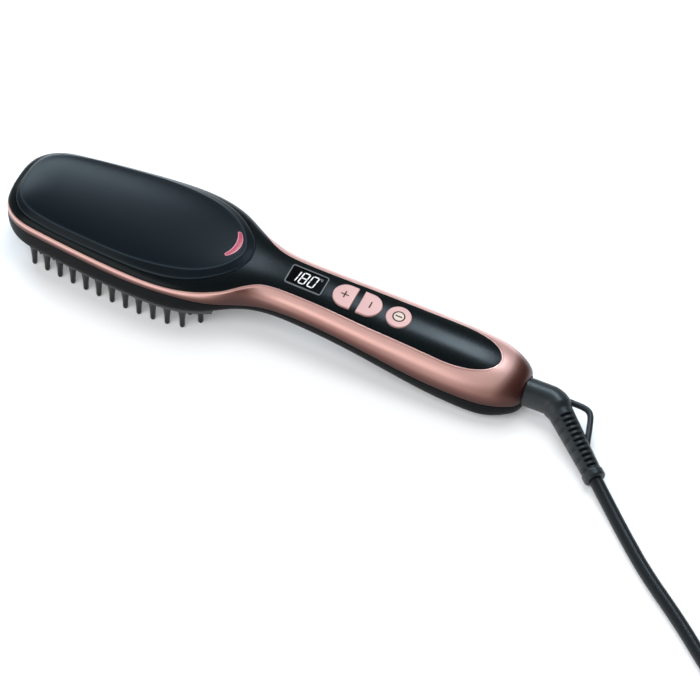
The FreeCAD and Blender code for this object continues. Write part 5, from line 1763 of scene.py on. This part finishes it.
# %% Cuts and grooves of the sleeve
SLOTS, SLOT_PITCH, SLOT_WIDTH, SLOT_DEPTH = 11, 3.0, 1.3, 1.9
SLOT_SOFT, SLOT_SIDE_SOFT = 0.35, 0.12
GROOVES_AT, GROOVE_DEPTH, GROOVE_HALF, GROOVE_SOFT = (0.6, 1.7), 0.4, 0.18, 0.2
CUT_HALF = math.radians(29)
GROOVE_START = CUT_HALF + 0.25
TO_THE_FAR_SIDE = 0.1
far_side = SLEEVE.cross(UP).normalized() * -1
CUT_WAY = (far_side * TO_THE_FAR_SIDE + UP).normalized()


def step_down(distance, half_width, soft):
    """1 inside a cut, 0 outside, with a short slope between."""
    return min(1, max(0, (half_width - distance) / soft + 0.5))


def sleeve_cut(s, swing):
    """Depth below the plain radius, by length and by angle from the cuts' side."""
    back = COLLAR_AT - s
    depth = 0.0
    number = math.floor(back / SLOT_PITCH)
    if 0 <= number < SLOTS:
        off = abs(back - SLOT_PITCH * (number + 0.5))
        inside_cut = step_down(off, SLOT_WIDTH / 2, SLOT_SOFT)
        depth = SLOT_DEPTH * inside_cut * step_down(abs(swing), CUT_HALF, SLOT_SIDE_SOFT)
    groove = math.fmod(back, 2 * SLOT_PITCH)
    if 0 < back < SLOTS * SLOT_PITCH and abs(swing) > GROOVE_START:
        for line_at in GROOVES_AT:
            depth = max(depth, GROOVE_DEPTH * step_down(abs(groove - line_at), GROOVE_HALF, GROOVE_SOFT))
    return depth


print("sleeve", SLOTS, "cuts,", SLOT_DEPTH, "mm deep")

# %% [markdown]
# The rings lie close together where the cuts are and far apart on the plain stub,
# so that the mesh is fine only where it has to be.

# %% The sleeve's rings
RING_SIDES = 96
STUB_STEP, PLAIN_STEP, CUT_STEP = 1.5, 0.5, 0.12
BEND_RINGS, COLLAR_RINGS = 14, 22
AFTER_BEND, BEFORE_CUTS = 0.4, 0.5


def relief_lengths():
    """Coarse steps along the stub, fine ones where the cuts are."""
    first_cut = COLLAR_AT - SLOTS * SLOT_PITCH - BEFORE_CUTS
    return np.concatenate([
        np.arange(0, STUB, STUB_STEP),
        np.linspace(STUB, STUB + ARC, BEND_RINGS),
        np.arange(STUB + ARC + AFTER_BEND, first_cut, PLAIN_STEP),
        np.arange(first_cut, COLLAR_AT, CUT_STEP),
        eased(COLLAR_AT, COLLAR_AT + COLLAR_LENGTH, COLLAR_RINGS - 1),
    ])


def relief_mesh():
    """The sleeve as rings along its bent axis, closed at both ends."""
    points = []
    for s in relief_lengths():
        centre, ahead = axis_at(s)
        side = BINORMAL.cross(ahead)
        cut_angle = math.atan2(CUT_WAY.dot(side), CUT_WAY.dot(BINORMAL))
        radius = plain_radius(s)
        for step in range(RING_SIDES):
            angle = 2 * math.pi * step / RING_SIDES
            swing = (angle - cut_angle + math.pi) % (2 * math.pi) - math.pi
            reach = radius - sleeve_cut(s, swing)
            points.append(centre + (BINORMAL * math.cos(angle) + side * math.sin(angle)) * reach)
    return points, capped(points, RING_SIDES)


ROUND_CRISP = 50
relief_points, relief_faces = relief_mesh()
relief = piece("elbow_sleeve", relief_points, relief_faces, ELBOW_BLACK, "cord_swivel",
               crisp=ROUND_CRISP)
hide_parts("strain_relief")
print("sleeve", len(relief.data.polygons), "faces")

# %% [markdown]
# ## Hanging loop
# A rod as thick as a knitting needle stands off the elbow and comes back to the
# sleeve, so that the brush can hang on a hook. It is moulded in one with the
# sleeve, and bends in one round corner. Like the lead it is a tube along a smooth
# line, because a straight extrusion would kink at that corner.

# %% Loop
LOOP_ROD, LOOP_SIDES = 1.6, 16
CORNER_RUN, CORNER_PULL, CORNER_SHARE, CORNER_EASE = 5.5, 0.62, 0.4, 0.6
LOOP_CORNER = BEND + Vector((18.7, 3.8, -1.2))
LOOP_START = BEND + Vector((3.0, 3.2, 0))
LOOP_LANDING = BEND + SLEEVE * 35.5
inbound = (LOOP_CORNER - LOOP_START).normalized()
outbound = (LOOP_LANDING - LOOP_CORNER).normalized()
before, after = LOOP_CORNER - inbound * CORNER_RUN, LOOP_CORNER + outbound * CORNER_RUN
turning = before.lerp(after, 0.5).lerp(LOOP_CORNER, CORNER_PULL)
LOOP_ROUTE = [
    LOOP_START, LOOP_START.lerp(LOOP_CORNER, 0.5), before,
    turning.lerp(before, CORNER_SHARE) + inbound * CORNER_EASE,
    turning.lerp(after, CORNER_SHARE) - outbound * CORNER_EASE,
    after, LOOP_CORNER.lerp(LOOP_LANDING, 0.5), LOOP_LANDING,
]
loop_line = [spot / MM for spot in smooth_route("loop_route", LOOP_ROUTE)]
loop_rings = tube_rings(loop_line, LOOP_ROD, LOOP_SIDES)
loop = piece("hook_loop", loop_rings, capped(loop_rings, LOOP_SIDES), ELBOW_BLACK,
             "cord_swivel")
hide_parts("hanging_loop")
print("loop", len(loop_line), "rings")

# %% [markdown]
# ## Plug
# The far end of the lead is a flat moulded two-pin plug. Its body grows from the
# lead to a wide grip with three finger grooves a side, and ends in a flat face. A
# scaled cube would be too plain, so it is a row of superellipses, the same kind of
# section that the brush itself has.

# %% Plug body
PLUG_START = TAIL[-1]
PLUG_LENGTH, PLUG_THICK = 36.0, 13.7
PLUG_SIDES, PLUG_ROWS = 48, 70
GRIPS_AT, GRIP_DEPTH, GRIP_HALF, GRIP_SOFT, GRIP_SIDE = (23.5, 26.5, 29.5), 0.45, 0.6, 0.5, 0.6
# distance from the lead, half width, half thickness, squareness
PLUG_PROFILE = [
    (0.0, 4.4, 4.4, 2.2), (1.0, 5.0, 5.0, 2.2), (5.0, 5.3, 5.2, 2.4),
    (11.0, 7.4, 5.9, 3.0), (17.0, 13.6, 6.6, 3.4), (22.5, 17.3, 6.84, 3.8),
    (29.0, 17.5, 6.8, 4.2), (34.6, 16.9, 6.6, 4.4), (36.0, 15.9, 5.8, 4.4),
]


def plug_mesh():
    """Sections of the plug from the lead to its face, with the finger grooves."""
    line, length = smooth_line(PLUG_PROFILE)
    angles = np.linspace(0, 2 * math.pi, PLUG_SIDES, endpoint=False)
    points = []
    for y, wide, thick, power in line(np.linspace(0, length, PLUG_ROWS)):
        groove = max(step_down(abs(y - at), GRIP_HALF, GRIP_SOFT) for at in GRIPS_AT) * GRIP_DEPTH
        across, up = unit_section(angles, power)
        ring = zip((wide - groove * (np.abs(across) > GRIP_SIDE)) * across,
                   min(thick, PLUG_THICK / 2) * up)
        points += [PLUG_START + Vector((x, min(y, PLUG_LENGTH), z)) for x, z in ring]
    return points, capped(points, PLUG_SIDES)


plug_points, plug_faces = plug_mesh()
plug = piece("mains_plug", plug_points, plug_faces, RUBBER, crisp=ROUND_CRISP)
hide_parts("plug_body")
print("plug", [round(side * 1000, 1) for side in plug.dimensions], "mm")

# %% [markdown]
# Two round metal pins stand in the face. About half of each is covered by a plastic
# collar, so that a finger can't touch live metal while the plug is half in. Pins
# and collars are turned profiles, like the bristles.

# %% Plug pins
PIN_SPACING, PIN_RADIUS, PIN_LENGTH, PIN_COLLAR = 18.6, 2.0, 19.0, 10.0


def turned(profile, base, sides=24):
    """A turned shape along +Y from (radius, distance) pairs."""
    points = []
    for radius, distance in profile:
        for step in range(sides):
            angle = 2 * math.pi * step / sides
            points.append(base + Vector((radius * math.cos(angle), distance, radius * math.sin(angle))))
    return points, capped(points, sides)


def join(parts):
    """Several point and face lists as one."""
    points, faces = [], []
    for more_points, more_faces in parts:
        start = len(points)
        points += list(more_points)
        faces += [tuple(corner + start for corner in face) for face in more_faces]
    return points, faces


pin_bases = [PLUG_START + Vector((side * PIN_SPACING / 2, PLUG_LENGTH, 0)) for side in (-1, 1)]
METAL_PROFILE = [
    (1.95, PIN_COLLAR), (PIN_RADIUS, PIN_COLLAR + 0.1), (PIN_RADIUS, PIN_LENGTH - 1.9),
    (1.8, PIN_LENGTH - 1.1), (1.3, PIN_LENGTH - 0.4), (0.6, PIN_LENGTH - 0.05), (0.01, PIN_LENGTH),
]
COLLAR_PROFILE = [(1.85, -0.5), (1.85, PIN_COLLAR - 0.2), (1.7, PIN_COLLAR + 0.02)]
pin_points, pin_faces = join([turned(METAL_PROFILE, base) for base in pin_bases])
pins = piece("plug_prongs", pin_points, pin_faces, PIN_METAL)
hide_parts("plug_pins")
collar_points, collar_faces = join([turned(COLLAR_PROFILE, base) for base in pin_bases])
collars = piece("prong_collars", collar_points, collar_faces, RUBBER)
print("pins", len(pin_bases), "of", PIN_LENGTH, "mm")

# %% [markdown]
# ## Tie
# A soft strap holds the coil together. Cloth simulation could wrap a strip round
# it, but a strap pulled tight simply has the outline of what it holds. So it is two
# box outlines with round corners, one inside the other, drawn across its width.

# %% Tie round the coil
TIE_ANGLE, TIE_WIDTH, TIE_THICK, TIE_MARGIN = 75.0, 12.0, 1.0, 0.2
TIE_CORNER, TIE_INNER_CORNER, CORNER_STEPS = 3.2, 2.4, 8
SIDE_PLAY, UPPER_PLAY = 0.1, 0.05
COIL_INNER, COIL_OUTER, COIL_HEIGHT = 22.5, 52.5, 14.0


def tie_mesh():
    """A flat strap bent round the coil's section."""
    length = COIL_OUTER - COIL_INNER
    outer_size = (length + 2 * TIE_THICK, COIL_HEIGHT + TIE_THICK - UPPER_PLAY)
    inner_size = (length + SIDE_PLAY, COIL_HEIGHT - TIE_THICK - UPPER_PLAY)
    outer = box_outline(*outer_size, TIE_CORNER, steps=CORNER_STEPS)(0)
    inner = box_outline(*inner_size, TIE_INNER_CORNER, steps=CORNER_STEPS)(0)
    middle = (COIL_INNER + COIL_OUTER) / 2
    lift = (COIL_HEIGHT + TIE_THICK) / 2
    edge = TIE_WIDTH / 2 - TIE_MARGIN
    turn_tie = Matrix.Translation(COIL) @ Matrix.Rotation(math.radians(TIE_ANGLE), 4, "Z")
    points = []
    for outline, across in ((inner, -edge), (outer, -edge), (outer, edge), (inner, edge)):
        points += [turn_tie @ Vector((middle + x, across, lift + y)) for x, y in outline]
    return points, ring_faces(4, len(outer))


tie_points, tie_faces = tie_mesh()
tie = piece("coil_tie", tie_points, tie_faces, RUBBER)
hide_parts("cord_tie")
print("tie", len(tie.data.polygons), "faces")

# %% [markdown] The lead's length

print("lead declared", CORD_LENGTH, "m, drawn", round(lead_length, 3), "m")

# %% [markdown]
# ## The pieces inside and below
# The nodes that stay from the CAD model are the heated plate and its frame, and
# what the closed housing hides: heaters, boards, screws and the swivel. Modelling
# them again would gain nothing, since their CAD shapes are plain. They get their
# finishes through their own material slots.

# %% Finishes for the nodes that stay
BOARD_GREEN = finish("board_green", (0.03, 0.14, 0.06), 0.35, grain=0.4, depth=0.003)
CERAMIC = finish("ceramic_white", (0.75, 0.74, 0.7), 0.5, grain=0.1, depth=0.004)
BARE_METAL = finish("bare_aluminium", (0.62, 0.62, 0.64), 0.32,
                    metal=1.0, grain=0.2, depth=0.002, drift=0.03)
STEEL = finish("zinc_steel", (0.5, 0.5, 0.52), 0.3, metal=1.0, grain=0.15, depth=0.002, drift=0.03)
INNER_BLACK = finish("inner_black", (0.03, 0.03, 0.032), 0.5, grain=0.4, depth=0.005)
BRASS = finish("contact_brass", (0.7, 0.55, 0.3), 0.3,
               metal=1.0, grain=0.2, depth=0.001, drift=0.03)
ACETAL = finish("bush_acetal", (0.72, 0.72, 0.7), 0.4, grain=0.3, depth=0.003)
WIRE_RED = finish("wire_silicone_red", (0.4, 0.03, 0.03), 0.45, grain=0.3, depth=0.003)
NODE_FINISHES = {
    "plate_frame": INNER_BLACK, "heater_plate": PLATE_COAT, "heater_clamp": BARE_METAL,
    "ptc_heaters": CERAMIC, "heater_screws": STEEL, "thermal_fuse": CERAMIC,
    "temperature_sensor": BARE_METAL, "heater_leads": WIRE_RED, "main_board": BOARD_GREEN,
    "light_board": BOARD_GREEN, "display_module": INNER_BLACK, "tact_switches": INNER_BLACK,
    "ion_generator": INNER_BLACK, "ion_outlet": BEZEL_GREY, "case_screws": STEEL,
    "swivel_bush": ACETAL, "slip_rings": BRASS, "contact_block": INNER_BLACK,
}
for node, material in NODE_FINISHES.items():
    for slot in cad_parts[node].material_slots:
        slot.material = material
print("nodes finished", len(NODE_FINISHES))
